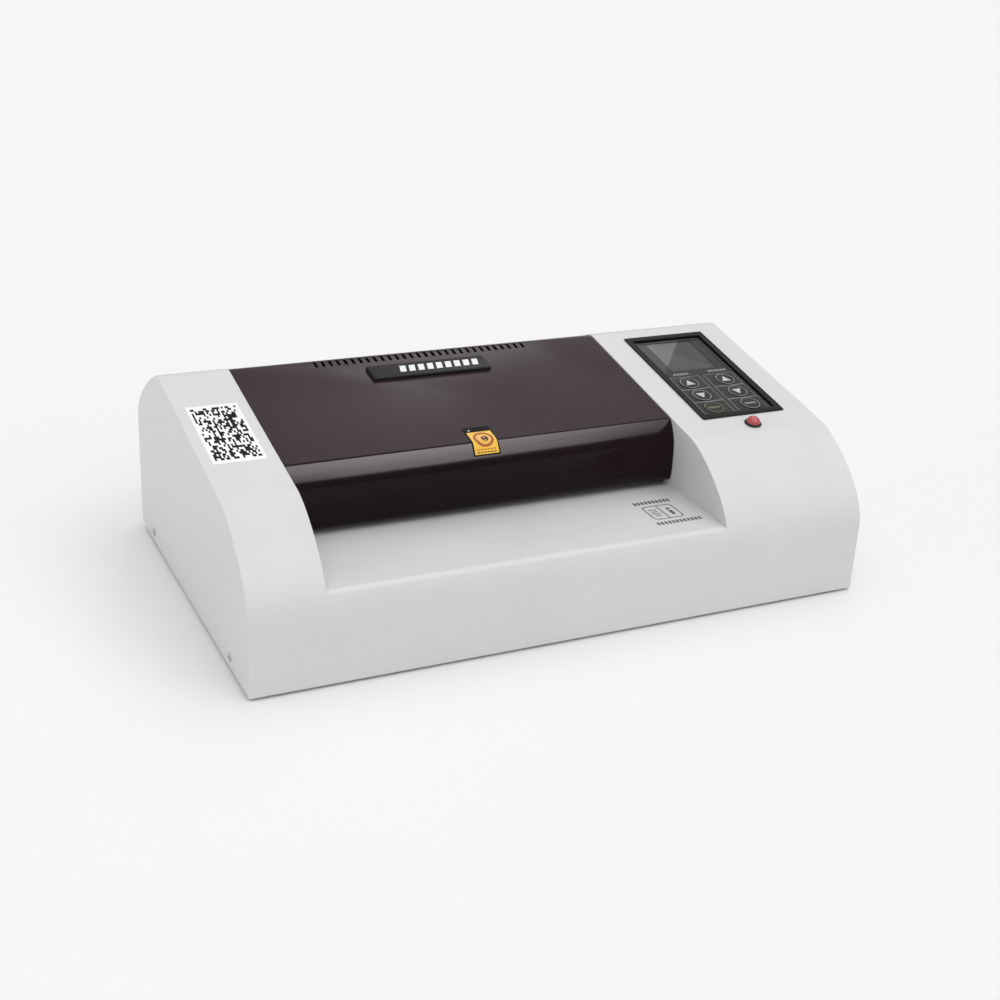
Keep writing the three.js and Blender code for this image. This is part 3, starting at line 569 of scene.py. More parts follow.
def wall_window(outline, x0, x1, above):
    """Opening in a wall beside the throat. The wall keeps its front and a flange along its outline."""
    wall_end = 104
    window = prism("window", offset(outline, FLANGE, closed=True), x0, x1)
    boolean(window, box("window_base", (x0, x1), (FLANGE, DEPTH - FLANGE), (-5, 20)), "UNION")
    boolean(window, box("window_front", (x0 - 1, x1 + 1), (-1, wall_end), (-6, above)))
    return window


def casing_shell():
    """Welded shell: rounded outside first, then hollowed, then cut for the panel, lamp and inlet."""
    outline = wing_outline()
    above = 300
    shell = prism("casing", outline, -END, END)
    boolean(shell, prism("throat", throat_outline(outline, above), *THROAT))
    low_z = SHELL_LOW.z + 0.5 * MM

    def share(a, b):
        if a.z < low_z and b.z < low_z:
            return 0.0
        return 1.0 if min(abs(a.x), abs(b.x)) > (END - 1) * MM else 0.6

    bevel(shell, 1.2, 4, 40, share)
    boolean(shell, casing_room(outline, above))
    for x0, x1 in ((THROAT[0] - SHEET - 1, THROAT[0] + 0.2), (THROAT[1] - 0.2, THROAT[1] + SHEET + 1)):
        boolean(shell, wall_window(outline, x0, x1, above))
    boolean(shell, slab("panel_hole", rounded(*PANEL_HOLE, 1.5), -6, 6, PANEL))
    lamp_hole = [(0, -6), (4.4, -6), (4.4, 6), (0, 6)]
    boolean(shell, turned("lamp_hole", lamp_hole, on_panel(*LAMP)))
    half_x, half_z = INLET_HOLE
    boolean(shell, box("inlet_hole", (INLET_X - half_x, INLET_X + half_x), (DEPTH - 5, DEPTH + 5),
                       (INLET_Z - half_z, INLET_Z + half_z)))
    for x in (THROAT[0] - 2, THROAT[1] + 2):
        split(shell, (x * MM, 0, 0), (1, 0, 0))
    split(shell, HOUSING @ Vector((0, 0, PLATFORM_Z - 8)), (0, 0, 1))
    clad(shell, WHITE, "white_paint", "casing_shell")
    even_normals(shell)


def top_cover():
    """Brown cover with a row of round-ended cooling slots in front of the ridge."""
    edge = DEPTH - COVER_DROP
    path = [(314, 88.2), (edge - 5, 86)]
    path += quadratic((edge - 5, 86), (edge, 86), (edge, 91), 8)
    path += over_ridge(COVER_DROP, 36)
    start = FASCIA_TOP + 0.7
    path.append((start, cover_z(start)))
    cover = bent_sheet("cover", path, SHEET, *COVER_X)
    bevel(cover, 0.35, 2, 50)
    first, pitch, count = -132.5, 6.64, 30
    y0, y1, half = 238, 248.2, 1.4
    slots = []
    for i in range(count):
        x = first + pitch * i
        outline = arc((x, y1 - half), half, 0, 180, 8) + arc((x, y0 + half), half, 180, 360, 8)
        slots.append(slab("vent", outline, 140, 175, HOUSING))
    boolean(cover, join("vents", slots))
    clad(cover, BROWN, "brown_paint", "top_cover")


def front_fascia():
    """Dark strip under the cover's edge; it swells a little and curls in above the exit slot."""
    tuck = SHEET + 0.5
    under = FASCIA_TOP + 1.2
    flange_end = 109
    path = [(flange_end, cover_z(flange_end) - tuck), (under, cover_z(under) - tuck), *fascia_brow()]
    path += bezier(path[-1], (92.1, 103), (91.6, 96), (91.9, 89.6), 12)
    path += bezier(path[-1], (92.1, 84.5), (92.9, LIP_Z), (97.5, LIP_Z), 14)
    path += [(103, LIP_Z), (108, LIP_Z + 5)]
    fascia = bent_sheet("fascia", path, SHEET, *COVER_X)
    bevel(fascia, 0.35, 2, 50)
    return clad(fascia, FASCIA, "fascia_dark", "front_fascia")


def rear_apron():
    """White back panel; its top edge rolls over into the ramp that leads a pouch to the rollers."""
    path = arc((DEPTH - REAR_CORNER, REAR_CORNER), REAR_CORNER, -90, 0, 10)
    path.append((DEPTH, PLATFORM_Z - 5))
    path += quadratic(path[-1], (DEPTH, PLATFORM_Z), (DEPTH - 6, PLATFORM_Z), 10)
    path.append((270.5, PLATFORM_Z))
    apron = bent_sheet("back_panel", path, SHEET, *COVER_X)
    bevel(apron, 0.35, 2, 50)
    clad(apron, WHITE, "white_paint", "rear_apron")


def node_centre(node):
    low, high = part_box(node)
    return (low + high) / 2


def foot(node):
    """Rubber foot with a rounded rim, a recess and the spigot that holds it in the base."""
    centre = node_centre(node)
    place = stand(centre.x, centre.y, SHELL_LOW.z)
    profile = [(0, -1.6), (4.2, -1.6), (4.8, -2.2), (5.4, -2.5), (9.6, -2.5), (10.5, -2.2), (10.9, -1.5),
               (11, -0.7), (10.7, -0.3), (3.9, -0.3), (3.9, 3.2), (3.5, 3.5), (0, 3.5)]
    clad(turned(f"{node}_rubber", profile, place), RUBBER, "rubber_feet", node)


def screw(node, side):
    """Pan-head screw with a cross recess; side is -1 on the left end and 1 on the right."""
    centre = node_centre(node)
    outward = Matrix.Rotation(side * math.pi / 2, 4, "Y")
    place = stand(side * END * MM, centre.y, centre.z, outward)
    profile = [(0, 1.2), (1.2, 1.16), (2.2, 1.02), (3.0, 0.72), (3.4, 0.3), (3.5, 0.02), (1.8, 0.0),
               (1.8, -8), (0, -8)]
    head = turned("head", profile, place, 40)
    for half_u, half_v in ((1.7, 0.36), (0.36, 1.7)):
        boolean(head, slab("recess", rounded(half_u, half_v, 0.2, 3), 0.45, 2, place))
    head.name = f"{node}_head"
    clad(head, ZINC, "zinc_steel", node)


# ---------- labels and prints ----------
def patches(name, outlines, base, thickness, place, material, slot, body="root"):
    """Thin flat prints: each outline becomes a closed film lying on height base."""
    films = [slab("film", outline, base, base + thickness, place) for outline in outlines]
    whole = join(name, films)
    whole.data.materials.clear()
    clad(whole, material, slot, body=body, angle=30)


def bar(u, v, width, height):
    low_u, high_u = u - width / 2, u + width / 2
    low_v, high_v = v - height / 2, v + height / 2
    return [(low_u, low_v), (high_u, low_v), (high_u, high_v), (low_u, high_v)]


def frame_bars(u0, u1, v0, v1, line):
    """Four bars around a rectangle, meeting without overlap."""
    width, height = u1 - u0, v1 - v0
    middle_u, middle_v = (u0 + u1) / 2, (v0 + v1) / 2
    return [bar(middle_u, v0, width + line, line), bar(middle_u, v1, width + line, line),
            bar(u0, middle_v, line, height - line), bar(u1, middle_v, line, height - line)]


def ring_film(name, outer, inner, base, thickness, place, material, slot, body, sides=64):
    profile = [(outer, base), (outer, base + thickness), (inner, base + thickness), (inner, base)]
    clad(turned(name, profile, place, sides), material, slot, body=body, angle=30)


def seeded_blocks(half_u, half_v):
    """Rows of dark blocks at random; neighbours in a row are one bar."""
    columns, rows = 25, 25
    density = 0.52
    step_u, step_v = 2 * half_u / columns, 2 * half_v / rows
    dice = random.Random(11)
    blocks = []
    for row in range(rows):
        middle_v = (row + 0.5 - rows / 2) * step_v
        start = 0
        for dark, run in groupby(dice.random() < density for _ in range(columns)):
            length = len(list(run))
            if dark:
                middle_u = (start + length / 2 - columns / 2) * step_u
                blocks.append(bar(middle_u, middle_v, length * step_u, step_v))
            start += length
    return blocks


def matrix_label():
    """White sticker with a seeded block pattern. It is decoration only: it encodes nothing."""
    place = on_slope(-235.2, 154.5)
    half_u, half_v = 20.8, 42
    margin_u, margin_v = 2.6, 4.2
    edge = rounded(half_u, half_v, 0.6, 3)
    rim = rounded(half_u - 0.1, half_v - 0.1, 0.6, 3)
    sheet = loft("label_sheet", [(edge, 0.05), (edge, 0.17), (rim, 0.2)], place)
    clad(sheet, PAPER, "white_paint", angle=30)
    blocks = seeded_blocks(half_u - margin_u, half_v - margin_v)
    patches("label_blocks", blocks, 0.21, 0.04, place, INK, "black_plastic")


def name_plate():
    """Black bevelled plate with a plain row of equal slanted silver bars."""
    place = on_slope(-40, 217.3, COVER_DROP)
    half_u, half_v = 53.5, 10.7
    edge = rounded(half_u, half_v, 0.8, 4)
    rim = rounded(half_u - 0.3, half_v - 0.3, 0.8, 4)
    face = rounded(half_u - 1, half_v - 1, 0.8, 4)
    plate = loft("badge", [(edge, 0.3), (edge, 2.5), (rim, 2.8), (face, 3.2)], place)
    clad(plate, BADGE, "black_plastic", "name_plate", angle=25)
    first, pitch, count = -24, 8.3, 9
    lean, half_width, half_height = 1.1, 2.7, 4.8
    bars = []
    for i in range(count):
        u = first + pitch * i
        bars.append([(u - half_width - lean, -half_height), (u + half_width - lean, -half_height),
                     (u + half_width + lean, half_height), (u - half_width + lean, half_height)])
    patches("badge_bars", bars, 3.21, 0.25, place, SILVER, "zinc_steel")


def bent_film(name, path, x0, x1, thickness, lift, material):
    """A thin sticker that follows a path in (y, z), a little above it."""
    raised = offset(path, -lift - thickness, closed=False)
    clad(bent_sheet(name, raised, thickness, x0, x1), material, "keypad_film", angle=30)


def along(path, start, end):
    """The part of a path between two lengths."""
    lengths = [0.0]
    for a, b in zip(path, path[1:]):
        lengths.append(lengths[-1] + math.dist(a, b))

    def at(length):
        for i in range(len(path) - 1):
            if lengths[i + 1] >= length:
                t = (length - lengths[i]) / (lengths[i + 1] - lengths[i])
                return tuple(path[i][k] + (path[i + 1][k] - path[i][k]) * t for k in (0, 1))
        return path[-1]

    inside = [p for p, s in zip(path, lengths) if start + 0.05 < s < end - 0.05]
    return [at(start), *inside, at(end)]


def wrapped(name, outer, inner, path, lift, material):
    """A thin band between two outlines of (x, length along the path), laid on a bent path."""
    count = len(outer)
    vertices = []
    for outline, height in ((outer, lift), (outer, lift + 0.05), (inner, lift + 0.05), (inner, lift)):
        for x, length in outline:
            ends = along(path, length - 0.2, length + 0.2)
            (y, z), beyond = ends[0], ends[-1]
            across, up = normal((y, z), beyond)
            middle = ((y + beyond[0]) / 2, (z + beyond[1]) / 2)
            vertices.append((x, middle[0] - across * height, middle[1] - up * height))
    faces = []
    for a in range(4):
        b = (a + 1) % 4
        faces += [(a * count + i, a * count + (i + 1) % count, b * count + (i + 1) % count, b * count + i)
                  for i in range(count)]
    clad(new_object(name, vertices, faces), material, "keypad_film", angle=30)


def ellipse(centre, half_x, half_y, sides=48):
    angles = [2 * math.pi * i / sides for i in range(sides)]
    return [(centre[0] + half_x * math.cos(a), centre[1] + half_y * math.sin(a)) for a in angles]


def warning_label():
    """Yellow sticker bent over the cover's front edge: black border and header, orange ring, plain marks."""
    start_y, end_z = 122.3, 122.6
    turn = 0.9
    crease, *fall = fascia_brow()
    beyond = (crease[0] - turn * 0.51, crease[1] - turn * 0.86)
    path = [(start_y, cover_z(start_y)), (FASCIA_TOP + turn, cover_z(FASCIA_TOP + turn))]
    path += quadratic(path[-1], crease, beyond, 8)
    path += [p for p in fall if p[1] < path[-1][1] - 0.3 and p[1] > end_z]
    x0, x1 = -51.0, -27.7
    middle = (x0 + x1) / 2
    length = sum(math.dist(a, b) for a, b in zip(path, path[1:]))
    rim, header = 1.2, 7.0
    bent_film("caution_border", path, x0, x1, 0.12, 0.2, INK)
    bent_film("caution_sheet", along(path, header, length - rim), x0 + rim, x1 - rim, 0.05, 0.33, YELLOW)
    centre = (middle + 0.3, 17.0)
    wrapped("caution_ring", ellipse(centre, 8.4, 8.4), ellipse(centre, 6.3, 6.3), path, 0.5, ORANGE)
    wrapped("caution_pale", ellipse(centre, 5.4, 4.6), ellipse(centre, 0.05, 0.05), path, 0.5, CREAM)
    wrapped("caution_mark", ellipse((centre[0] + 0.8, centre[1] + 0.4), 3.0, 3.4),
            ellipse((centre[0] + 0.4, centre[1] - 1.2), 0.9, 0.8), path, 0.57, DARK_INK)
    corner = (x0 + 4.6, 4.0)
    wrapped("caution_sign", ellipse(corner, 1.1, 1.1, 3), ellipse(corner, 0.05, 0.05, 3), path, 0.33, PAPER)
    for from_end, material in ((5.4, ORANGE), (3.2, DARK_INK)):
        line = along(path, length - from_end, length - from_end + 0.9)
        for i in range(6):
            start = x0 + 3.4 + 2.9 * i
            bent_film("caution_line", line, start, start + 2.1, 0.04, 0.39, material)


def manual_print():
    """Open-book outline between two rows of plain bars, printed on the platform."""
    place = HOUSING @ Matrix.Translation((99, 48, PLATFORM_Z))
    line = 1.1
    half_u, half_v = 14, 13
    outer = rounded(half_u, half_v, 4.5, 6)
    inner = rounded(half_u - line, half_v - line, 4.5 - line, 6)
    rings = [(outer, 0.02), (outer, 0.06), (inner, 0.06), (inner, 0.02)]
    book = loft("book_outline", rings, place, closed=True)
    clad(book, GREY_INK, "black_plastic", angle=30)
    marks = [bar(0, 0, line, 2 * half_v - 2 * line - 0.2)]
    marks += [bar(-6.8, 5.4 - 3.6 * i, 7.6 - 1.8 * (i % 2), 1.2) for i in range(4)]
    marks += [bar(7.2, 4.4, 3.2, 3.2), bar(7.2, -2.9, 3.2, 8)]
    for v, first, count in ((20, -15, 10), (-20, -15.5, 12)):
        for i in range(count):
            marks.append(bar(first + 3.5 * i, v, 2.3, 5.2))
    patches("book_marks", marks, 0.02, 0.04, place, GREY_INK, "black_plastic")


# ---------- control panel ----------
LAMP = (0, -86)
RECESS = (35, 65.5)
FILM_TOP = -1.5
KEY_TOP = -0.9
KEY_RADIUS = 9
COLUMNS = {"left": -18.5, "right": 18.5}
ROWS = {"top": -10.5, "middle": -32, "bottom": -53}
WINDOW = (-23, 23, 11.5, 62.3)
PANEL_HOLE = (38, 69.1)

# The painted glare, a painted reflection across the panel, ends on a line in (u, v): u = GLARE_U + GLARE_LEAN
# * (v - GLARE_V).
GLARE_U, GLARE_V, GLARE_LEAN = 12.8, 64.4, 0.815


def panel_bezel():
    """Moulded frame: flange with rounded edges, sloping inner lip, skirt and ledge, all one skin."""
    outer = (41, 72.1)
    skirt = (37.7, 68.8)

    def ring(size, shrink, radius, height):
        return rounded(size[0] - shrink, size[1] - shrink, radius, 6), height

    ledge = (RECESS[0] - 3, RECESS[1] - 3)
    rings = [ring(outer, 0, 1.6, 0.35), ring(outer, 0, 1.6, 0.9), ring(outer, 0.2, 1.5, 1.15),
             ring(outer, 0.6, 1.4, 1.3), ring(RECESS, -0.7, 1.2, 1.3), ring(RECESS, -0.25, 1.0, 1.15),
             ring(RECESS, 0, 0.9, 0.8), ring(RECESS, 0, 0.9, -2.8), ring(ledge, 0, 0.8, -2.8),
             ring(ledge, 0, 0.8, -6), ring(skirt, 0, 1.2, -6), ring(skirt, 0, 1.2, 0.35)]
    bezel = loft("bezel", rings, PANEL, closed=True)
    clad(bezel, BEZEL, "black_plastic", "panel_bezel")


def key_membrane():
    """Film with holes for the keys and the display."""
    half = (RECESS[0] - 0.3, RECESS[1] - 0.3)
    film = slab("film_plate", rounded(*half, 0.7, 4), -2.5, FILM_TOP, PANEL)
    u0, u1, v0, v1 = WINDOW
    window = rounded((u1 - u0) / 2, (v1 - v0) / 2, 0.8, 4, ((u0 + u1) / 2, (v0 + v1) / 2))
    boolean(film, slab("window_hole", window, -4, 0, PANEL))
    hole = [(0, -4), (KEY_RADIUS + 0.3, -4), (KEY_RADIUS + 0.3, 0), (0, 0)]
    for u in COLUMNS.values():
        for v in ROWS.values():
            boolean(film, turned("key_hole", hole, on_panel(u, v), 64))
    film.name = "keypad_plate"
    # The keypad film's colour holds a painted reflection: paler left of the glare line.
    dark = painted_glare_film("keypad_film", (0.012, 0.024), 0.032, (0.26, 0.34))
    clad(film, dark, "keypad_film", "key_membrane")
    membrane_print(half)


def membrane_print(half):
    """Lines around the film and its keys, and a row of plain bars above each column of keys."""
    line = 0.55
    marks = frame_bars(-half[0] + 0.9, half[0] - 0.9, -half[1] + 0.9, half[1] - 0.9, line)
    for u0, u1 in ((-32.0, -2.2), (2.2, 32.0)):
        for v0, v1 in ((-20.9, 0.4), (-42.4, -21.1), (-63.0, -42.6)):
            marks += frame_bars(u0, u1 - line, v0 + line, v1, line)
    patches("keypad_lines", marks, FILM_TOP + 0.01, 0.03, PANEL, GREY_PRINT, "keypad_film")
    words = [bar(-24.4 + 3.2 * i, 5.6, 2.3, 2.9) for i in range(5)]
    words += [bar(11.6 + 3.2 * i, 6.0, 2.3, 2.9) for i in range(6)]
    patches("keypad_words", words, FILM_TOP + 0.01, 0.03, PANEL, PRINT, "keypad_film")


def key(column, row):
    """Domed key cap with a printed ring and an arrow, or plain bars on the lowest row."""
    node = f"key_{column}_{row}"
    place = on_panel(COLUMNS[column], ROWS[row])
    ease = 0.25
    crown = [(KEY_RADIUS - ease + ease * math.cos(a), KEY_TOP - ease + ease * math.sin(a))
             for a in (math.radians(22.5 * i) for i in range(5))]
    profile = [(0, -3.6), (KEY_RADIUS - 0.2, -3.6), (KEY_RADIUS, -3.4), *crown, (0, KEY_TOP)]
    clad(turned(f"{node}_cap", profile, place, 64), KEY, "keypad_film", node, body=node)
    special = (column, row) == ("left", "bottom")
    tone = OLIVE if special else PRINT
    base = KEY_TOP + 0.01
    ring_film(f"{node}_ring", 8.7, 8.05, base, 0.03, place, tone, "keypad_film", node)
    if row == "bottom":
        words = [bar(-4.2 + 2.8 * i, 0, 2.0, 2.4) for i in range(4)]
        patches(f"{node}_bars", words, base, 0.03, place, tone, "keypad_film", node)
        return
    tip = 1 if row == "top" else -1
    arrow = [(0, 4.7 * tip), (-4.5 * tip, -3.4 * tip), (4.5 * tip, -3.4 * tip)]
    patches(f"{node}_arrow", [arrow], base, 0.03, place, ARROW, "keypad_film", node)


def display_window():
    """Smoked pane with an eased rim, in the film's window."""
    u0, u1, v0, v1 = WINDOW
    half_u, half_v = (u1 - u0) / 2 - 0.3, (v1 - v0) / 2 - 0.3
    edge = rounded(half_u, half_v, 0.6, 4)
    rim = rounded(half_u - 0.2, half_v - 0.2, 0.6, 4)
    face = rounded(half_u - 0.6, half_v - 0.6, 0.5, 4)
    rings = [(edge, -3.6), (edge, -1.95), (rim, -1.75), (face, -1.7)]
    window = loft("window_pane", rings, on_panel((u0 + u1) / 2, (v0 + v1) / 2))
    # The smoked pane's colour holds a painted reflection: paler left of the glare line.
    smoke = painted_glare_film("display_film", (0.05, 0.066), 0.075, (0.1, 0.16))
    clad(window, smoke, "window_smoked", "display_window", angle=20)


def power_lamp():
    """Black collar and, as a piece of its own, the red dome."""
    place = on_panel(*LAMP)
    collar = [(0, -8), (3.9, -8), (4.1, -7.6), (4.1, 0.3), (7.1, 0.3), (7.35, 0.55), (7.3, 1.0), (6.7, 1.55),
              (6.3, 1.85), (6.1, 1.9), (5.95, 1.2), (0, 1.2)]
    clad(turned("lamp_collar", collar, place, 56), BLACK, "black_plastic", "power_lamp")
    dome = [(0, 1.25), (5.7, 1.25), (5.85, 1.6)]
    dome += [(5.85 * math.cos(a), 2.0 + 4.6 * math.sin(a)) for a in (math.radians(9 * i) for i in range(10))]
    dome.append((0, 6.6))
    clad(turned("lamp_dome", dome, place, 56), LENS, "lamp_red", "power_lamp", angle=60)


# ---------- inlet ----------
INLET_X = 205
INLET_Z = 39
SOCKET_Z = 27
ROCKER_Z = 52
INLET_HOLE = (21.3, 26.3)
FACING_BACK = Matrix.Rotation(-math.pi / 2, 4, "X") @ Matrix.Rotation(math.pi, 4, "Z")


def power_inlet():
    """Inlet module: flange, shrouded socket with three metal pins, and the bay of the rocker."""
    place = HOUSING @ Matrix.Translation((INLET_X, DEPTH, INLET_Z)) @ FACING_BACK
    core, flange, face = rounded(21, 26, 1, 5), rounded(25, 30, 2, 5), rounded(24.4, 29.4, 2, 5)
    rings = [(core, -28), (core, 0.3), (flange, 0.3), (flange, 1.2), (face, 1.8)]
    body = loft("inlet", rings, place)
    v = SOCKET_Z - INLET_Z
    cavity = [(-12, -8.2), (12, -8.2), (12, 4.2), (8, 8.2), (-8, 8.2), (-12, 4.2)]
    boolean(body, slab("cavity", [(x, y + v) for x, y in cavity], -17, 5, place))
    bay = rounded(10.6, 7, 0.6, 3, (0, ROCKER_Z - INLET_Z))
    boolean(body, slab("bay", bay, -15, 5, place))
    bevel(body, 0.3, 2, 40)
    clad(body, BLACK, "black_plastic", "power_inlet")
    blade_edge, blade_tip = rounded(1, 2.5, 0.3, 3), rounded(0.5, 2.0, 0.3, 3)
    rings = [(blade_edge, -17.1), (blade_edge, -3), (blade_tip, -2)]
    for i, (x, y) in enumerate(((-7, -2), (7, -2), (0, 2.5))):
        blade = loft(f"inlet_pin_{i}", rings, place @ Matrix.Translation((x, v + y, 0)))
        clad(blade, STEEL, "bright_steel")


def power_rocker():
    """Rocker with rounded edges and the usual bar and ring."""
    reach = 9.7
    pivot = HOUSING @ Vector((INLET_X, 319.5, ROCKER_Z))
    tilt = Matrix.Rotation(math.radians(7), 4, "Z")
    place = stand(*pivot, tilt)
    outline = [(-reach, -3.5), (-4, -6.5), (4, -6.5), (reach, -3.5), (reach, 5.6)]
    outline += quadratic((reach, 5.6), (0, 3.3), (-reach, 5.6), 16)
    rocker = slab("rocker", outline, -6.6, 6.6, place)
    bevel(rocker, 0.4, 3, 40)
    clad(rocker, BLACK, "black_plastic", "power_rocker", body="rocker")
    for u, angle in ((5.6, 1), (-5.6, -1)):
        face = place @ Matrix.Translation((u, 4.88, 0)) @ Matrix.Rotation(angle * math.radians(7.6), 4, "Z")
        face = face @ FACING_BACK
        if u > 0:
            patches("rocker_bar", [bar(0, 0, 0.8, 4.6)], 0.1, 0.06, face, PAPER, "white_paint", "rocker")
        else:
            ring_film("rocker_ring", 2.2, 1.6, 0.1, 0.06, face, PAPER, "white_paint", "rocker", 40)


# ---------- inside ----------
ALONG_X = Matrix.Rotation(math.pi / 2, 4, "Y")
ROLLER_X = (-202.3, 129.6)
ROLLER_RADIUS = 17.7


def roller(level, name):
    """Silicone sleeve with eased edges on a ground shaft."""
    node = f"{level}_roller_{name}"
    centre = node_centre(node)
    place = stand(0, centre.y, centre.z, ALONG_X)
    x0, x1 = ROLLER_X
    sleeve = [(6.5, x0), (16.9, x0), (17.4, x0 + 0.3), (ROLLER_RADIUS, x0 + 1), (ROLLER_RADIUS, x1 - 1),
              (17.4, x1 - 0.3), (16.9, x1), (6.5, x1)]
    shaft = [(0, -216), (4.6, -216), (5, -215.6), (5, -214.6), (4.5, -214.6), (4.5, -213.8), (5, -213.8),
             (5, x0 - 1), (6.45, x0 - 1), (6.45, x1 + 1), (5, x1 + 1), (5, 154.6), (4.6, 155), (0, 155)]
    body = f"{level}_{name}"
    clad(turned(f"{node}_sleeve", sleeve, place, 72), SILICONE, "silicone", node, body=body)
    clad(turned(f"{node}_shaft", shaft, place, 40), STEEL, "bright_steel", node, body=body)


def bush(name, side, x):
    """Flanged bronze-coloured bush of a lower journal, in the side frame."""
    centre = node_centre(f"lower_roller_{name}")
    place = stand(x * MM, centre.y, centre.z, ALONG_X)
    profile = [(5.02, -1.4), (5.28, -1.4), (5.28, 1.15), (8, 1.15), (8, 1.9), (5.02, 1.9)]
    clad(turned(f"bush_{name}_{side}", profile, place, 36), NYLON, "nylon")


def wound_wire(radius, wire, length, turns=6, sides=8, steps=144):
    """Vertices and faces of a round wire wound about w; its ends are open turns, cut square."""
    height = length - 2 * wire
    vertices, faces = [], []
    for i in range(steps + 1):
        t = i / steps
        angle = 2 * math.pi * turns * t
        rise = wire + height * t
        for k in range(sides):
            around = 2 * math.pi * k / sides
            reach = radius + wire * math.cos(around)
            level = rise + wire * math.sin(around)
            vertices.append((reach * math.cos(angle), reach * math.sin(angle), level))
    for i in range(steps):
        for k in range(sides):
            a, b = i * sides + k, i * sides + (k + 1) % sides
            faces.append((a, b, b + sides, a + sides))
    faces += [list(range(sides)), list(range(steps * sides, (steps + 1) * sides))]
    return vertices, faces


def spring(name, side):
    """Compression spring as a coil of wire, as tall as its CAD part."""
    node = f"pressure_spring_{name}_{side}"
    low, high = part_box(node)
    centre = (low + high) / 2
    vertices, faces = wound_wire(4.75, 0.7, (high.z - low.z) / MM)
    coil = new_object(f"{node}_coil", vertices, faces, stand(centre.x, centre.y, low.z))
    clad(coil, STEEL, "bright_steel", node)
    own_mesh(coil)


def motor():
    """Can motor: mounting plate, drawn can with a rolled edge and a rear boss."""
    node = "drive_motor"
    low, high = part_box(node)
    centre = (low + high) / 2
    place = stand(low.x, centre.y, centre.z, ALONG_X)
    profile = [(0, 12), (4.3, 12), (4.3, 0), (29.6, 0), (30, 0.4), (30, 1.6), (29.6, 2), (27, 2), (27, 26),
               (26.4, 26.6), (26.4, 27.4), (27, 28), (27, 40), (26.2, 41.4), (24, 42), (8, 42),
               (8, 41.2), (0, 41.2)]
    clad(turned("motor_can", profile, place, 72), ZINC, "zinc_steel", node)


def drive_train():
    """Everything inside the casing."""
    for name in ("front", "middle", "rear"):
        for level in ("lower", "upper"):
            roller(level, name)
            dress(f"{level}_gear_{name}", NYLON, 0.25)
        for side, x in (("left", -211), ("right", 138.3)):
            bush(name, side, x)
            spring(name, side)
            dress(f"bearing_block_{name}_{side}", NYLON, 0.3)
    for node, material, width in (
            ("idler_gear_front", NYLON, 0.25), ("idler_gear_rear", NYLON, 0.25),
            ("motor_pinion", STEEL, 0.2), ("side_frame_left", ZINC, 0.25), ("side_frame_right", ZINC, 0.25),
            ("cross_tie", STEEL, 0.3), ("heater_lower", ALUMINIUM, 0.4), ("heater_upper", ALUMINIUM, 0.4),
            ("control_board", BOARD, 0.15), ("base_pan", ZINC, 0.3)):
        dress(node, material, width)
    motor()


casing_shell()
top_cover()
FRONT_STRIP = front_fascia()
rear_apron()
for end in ("front", "rear"):
    for side, sign in (("left", -1), ("right", 1)):
        foot(f"foot_{end}_{side}")
        screw(f"screw_{end}_{side}", sign)
matrix_label()
name_plate()
warning_label()
manual_print()
panel_bezel()
key_membrane()
for column in COLUMNS:
    for row in ROWS:
        key(column, row)
display_window()
power_lamp()
power_inlet()
power_rocker()
drive_train()


# ---------- floor, light and camera ----------
# Softboxes around the object: from and to a bearing, positive to the right of the front, from and to a
# height over the floor, both in degrees, and a strength.
SOFTBOXES = {
    "ceiling": ((-180, 180), (50, 95), 0.74),
    "right": ((40, 170), (35, 75), 0.5),
    "front_right": ((0, 46), (18, 32), 1.8),
    "front": ((-60, 60), (36, 60), 1.34),
    "left": ((-150, -60), (-5, 16), 1.55),
    "back": ((146, 155), (30, 52), 1.7),
}
ROOM = 0.446
HORIZON = 0.92  # what shows behind the floor, as pale as the floor itself


def softbox(nodes, bearing, height, bearings, heights, strength, feather=2.5):
    """Brightness of one softbox in a direction: its strength inside, falling to 0 over its edges."""
    share = 1.0
    for value, edges, last in ((bearing, bearings, 179), (height, heights, 90)):
        for edge, sign in zip(edges, (1, -1)):
            if abs(edge) > last:
                continue
            start, end = math.radians(edge - sign * feather), math.radians(edge + sign * feather)
            ramp = nodes.spread(value, 0, 1, start, end, interpolation_type="SMOOTHSTEP")
            share = nodes.math("MULTIPLY", share, ramp)
    return nodes.math("MULTIPLY", share, strength)


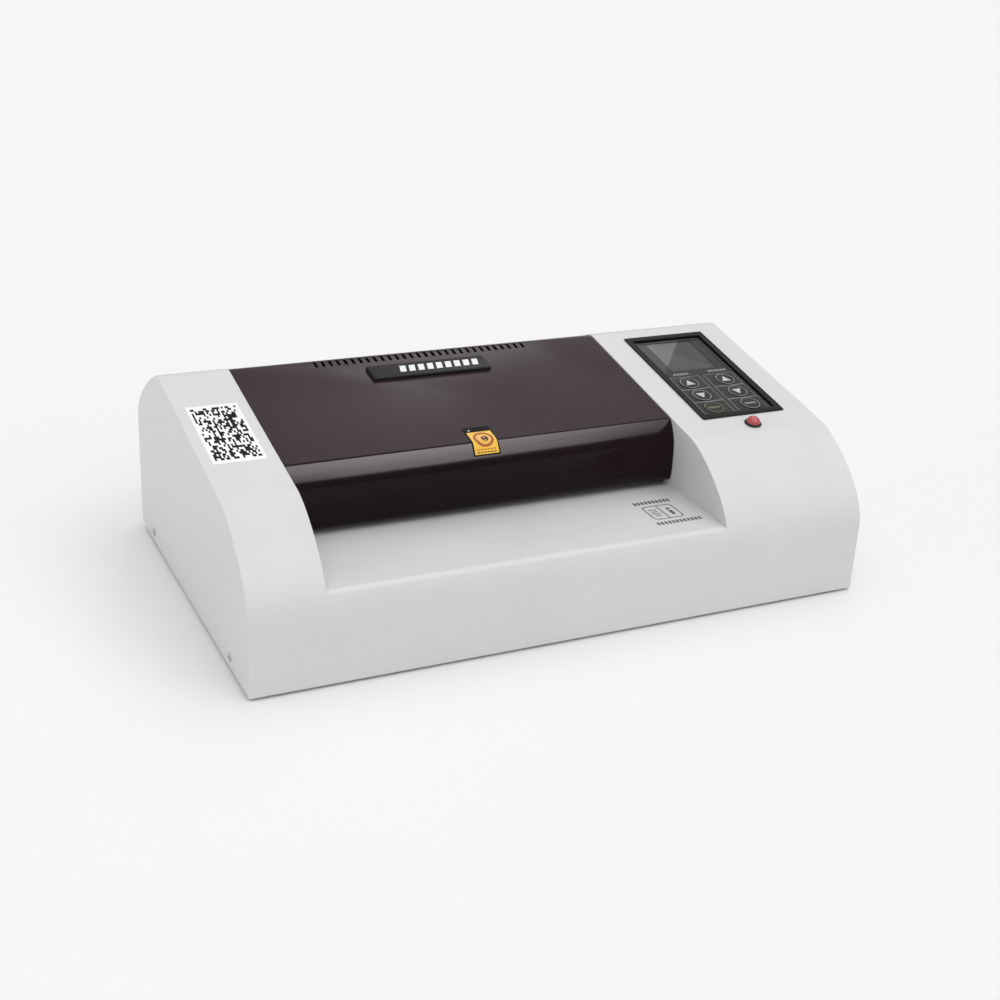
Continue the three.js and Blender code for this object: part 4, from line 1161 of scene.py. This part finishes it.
def studio():
    """A pale room with a few softboxes. Only their light is seen; the camera sees an even horizon."""
    nodes = Nodes(bpy.data.worlds.new("studio"))
    towards = nodes.add("ShaderNodeTexCoord").outputs["Generated"]
    x, y, z = nodes.add("ShaderNodeSeparateXYZ", {"Vector": towards}).outputs
    bearing = nodes.math("ARCTAN2", x, nodes.math("MULTIPLY", y, -1.0))
    height = nodes.math("ARCSINE", z)
    total = ROOM
    for limits in SOFTBOXES.values():
        total = nodes.math("ADD", total, softbox(nodes, bearing, height, *limits))
    seen = nodes.add("ShaderNodeLightPath").outputs["Is Camera Ray"]
    shown = nodes.add("ShaderNodeMix", {"Factor": seen, "A": total, "B": HORIZON})
    bpy.context.scene.world = nodes.shade({"Color": (1, 1, 1, 1), "Strength": shown.outputs["Result"]})


def strip_light(strip):
    """Leaning softbox in front, to the right, for the sheen on the dark strip alone."""
    bearing, lean, low = (math.radians(angle) for angle in (19, 55, 21.4))
    distance, width, height = 3.2, 5.4, 1.9
    outward = Vector((math.sin(bearing), -math.cos(bearing), 0))
    upward = Vector((0, 0, 1))
    edge = Vector((-0.04, -0.06, 0.13)) + (outward * math.cos(low) + upward * math.sin(low)) * distance
    light = give(bpy.data.lights.new("strip_light", "AREA"), shape="RECTANGLE", size=width, size_y=height,
                 energy=174, spread=math.radians(95), color=(1, 0.89, 0.92))
    lamp = in_scene("strip_light", light)
    lamp.location = edge + (upward * math.cos(lean) - outward * math.sin(lean)) * height / 2
    facing_away = outward * math.cos(lean) + upward * math.sin(lean)
    lamp.rotation_euler = facing_away.to_track_quat("Z", "Y").to_euler()
    lamp.visible_camera = False
    alone = bpy.data.collections.new("strip_alone")
    alone.objects.link(strip)
    lamp.light_linking.receiver_collection = alone
    lamp.light_linking.blocker_collection = alone


def floor():
    reach = 60
    corners = [(-reach, -reach, 0), (reach, -reach, 0), (reach, reach, 0), (-reach, reach, 0)]
    mesh = bpy.data.meshes.new("floor")
    mesh.from_pydata(corners, [], [(0, 1, 2, 3)])
    ground = in_scene("floor", mesh)
    nodes = Nodes(bpy.data.materials.new("pale_floor"))
    tones = nodes.colours(nodes.noise(3, 2), grey(0.822), grey(0.827))
    mesh.materials.append(nodes.shade({"Base Color": tones, "Roughness": 0.9, "Specular IOR Level": 0.1}))


def camera():
    eye = in_scene("view", give(bpy.data.cameras.new("view"), lens=54.98, sensor_width=36))
    eye.location = HOUSING @ Vector((-530, -918.2, 573.4))
    eye.rotation_euler = [math.radians(angle) for angle in (66.526, -2.848, -25.185)]
    bpy.context.scene.camera = eye


floor()
studio()
strip_light(FRONT_STRIP)
camera()
bpy.context.scene.view_settings.view_transform = "Standard"
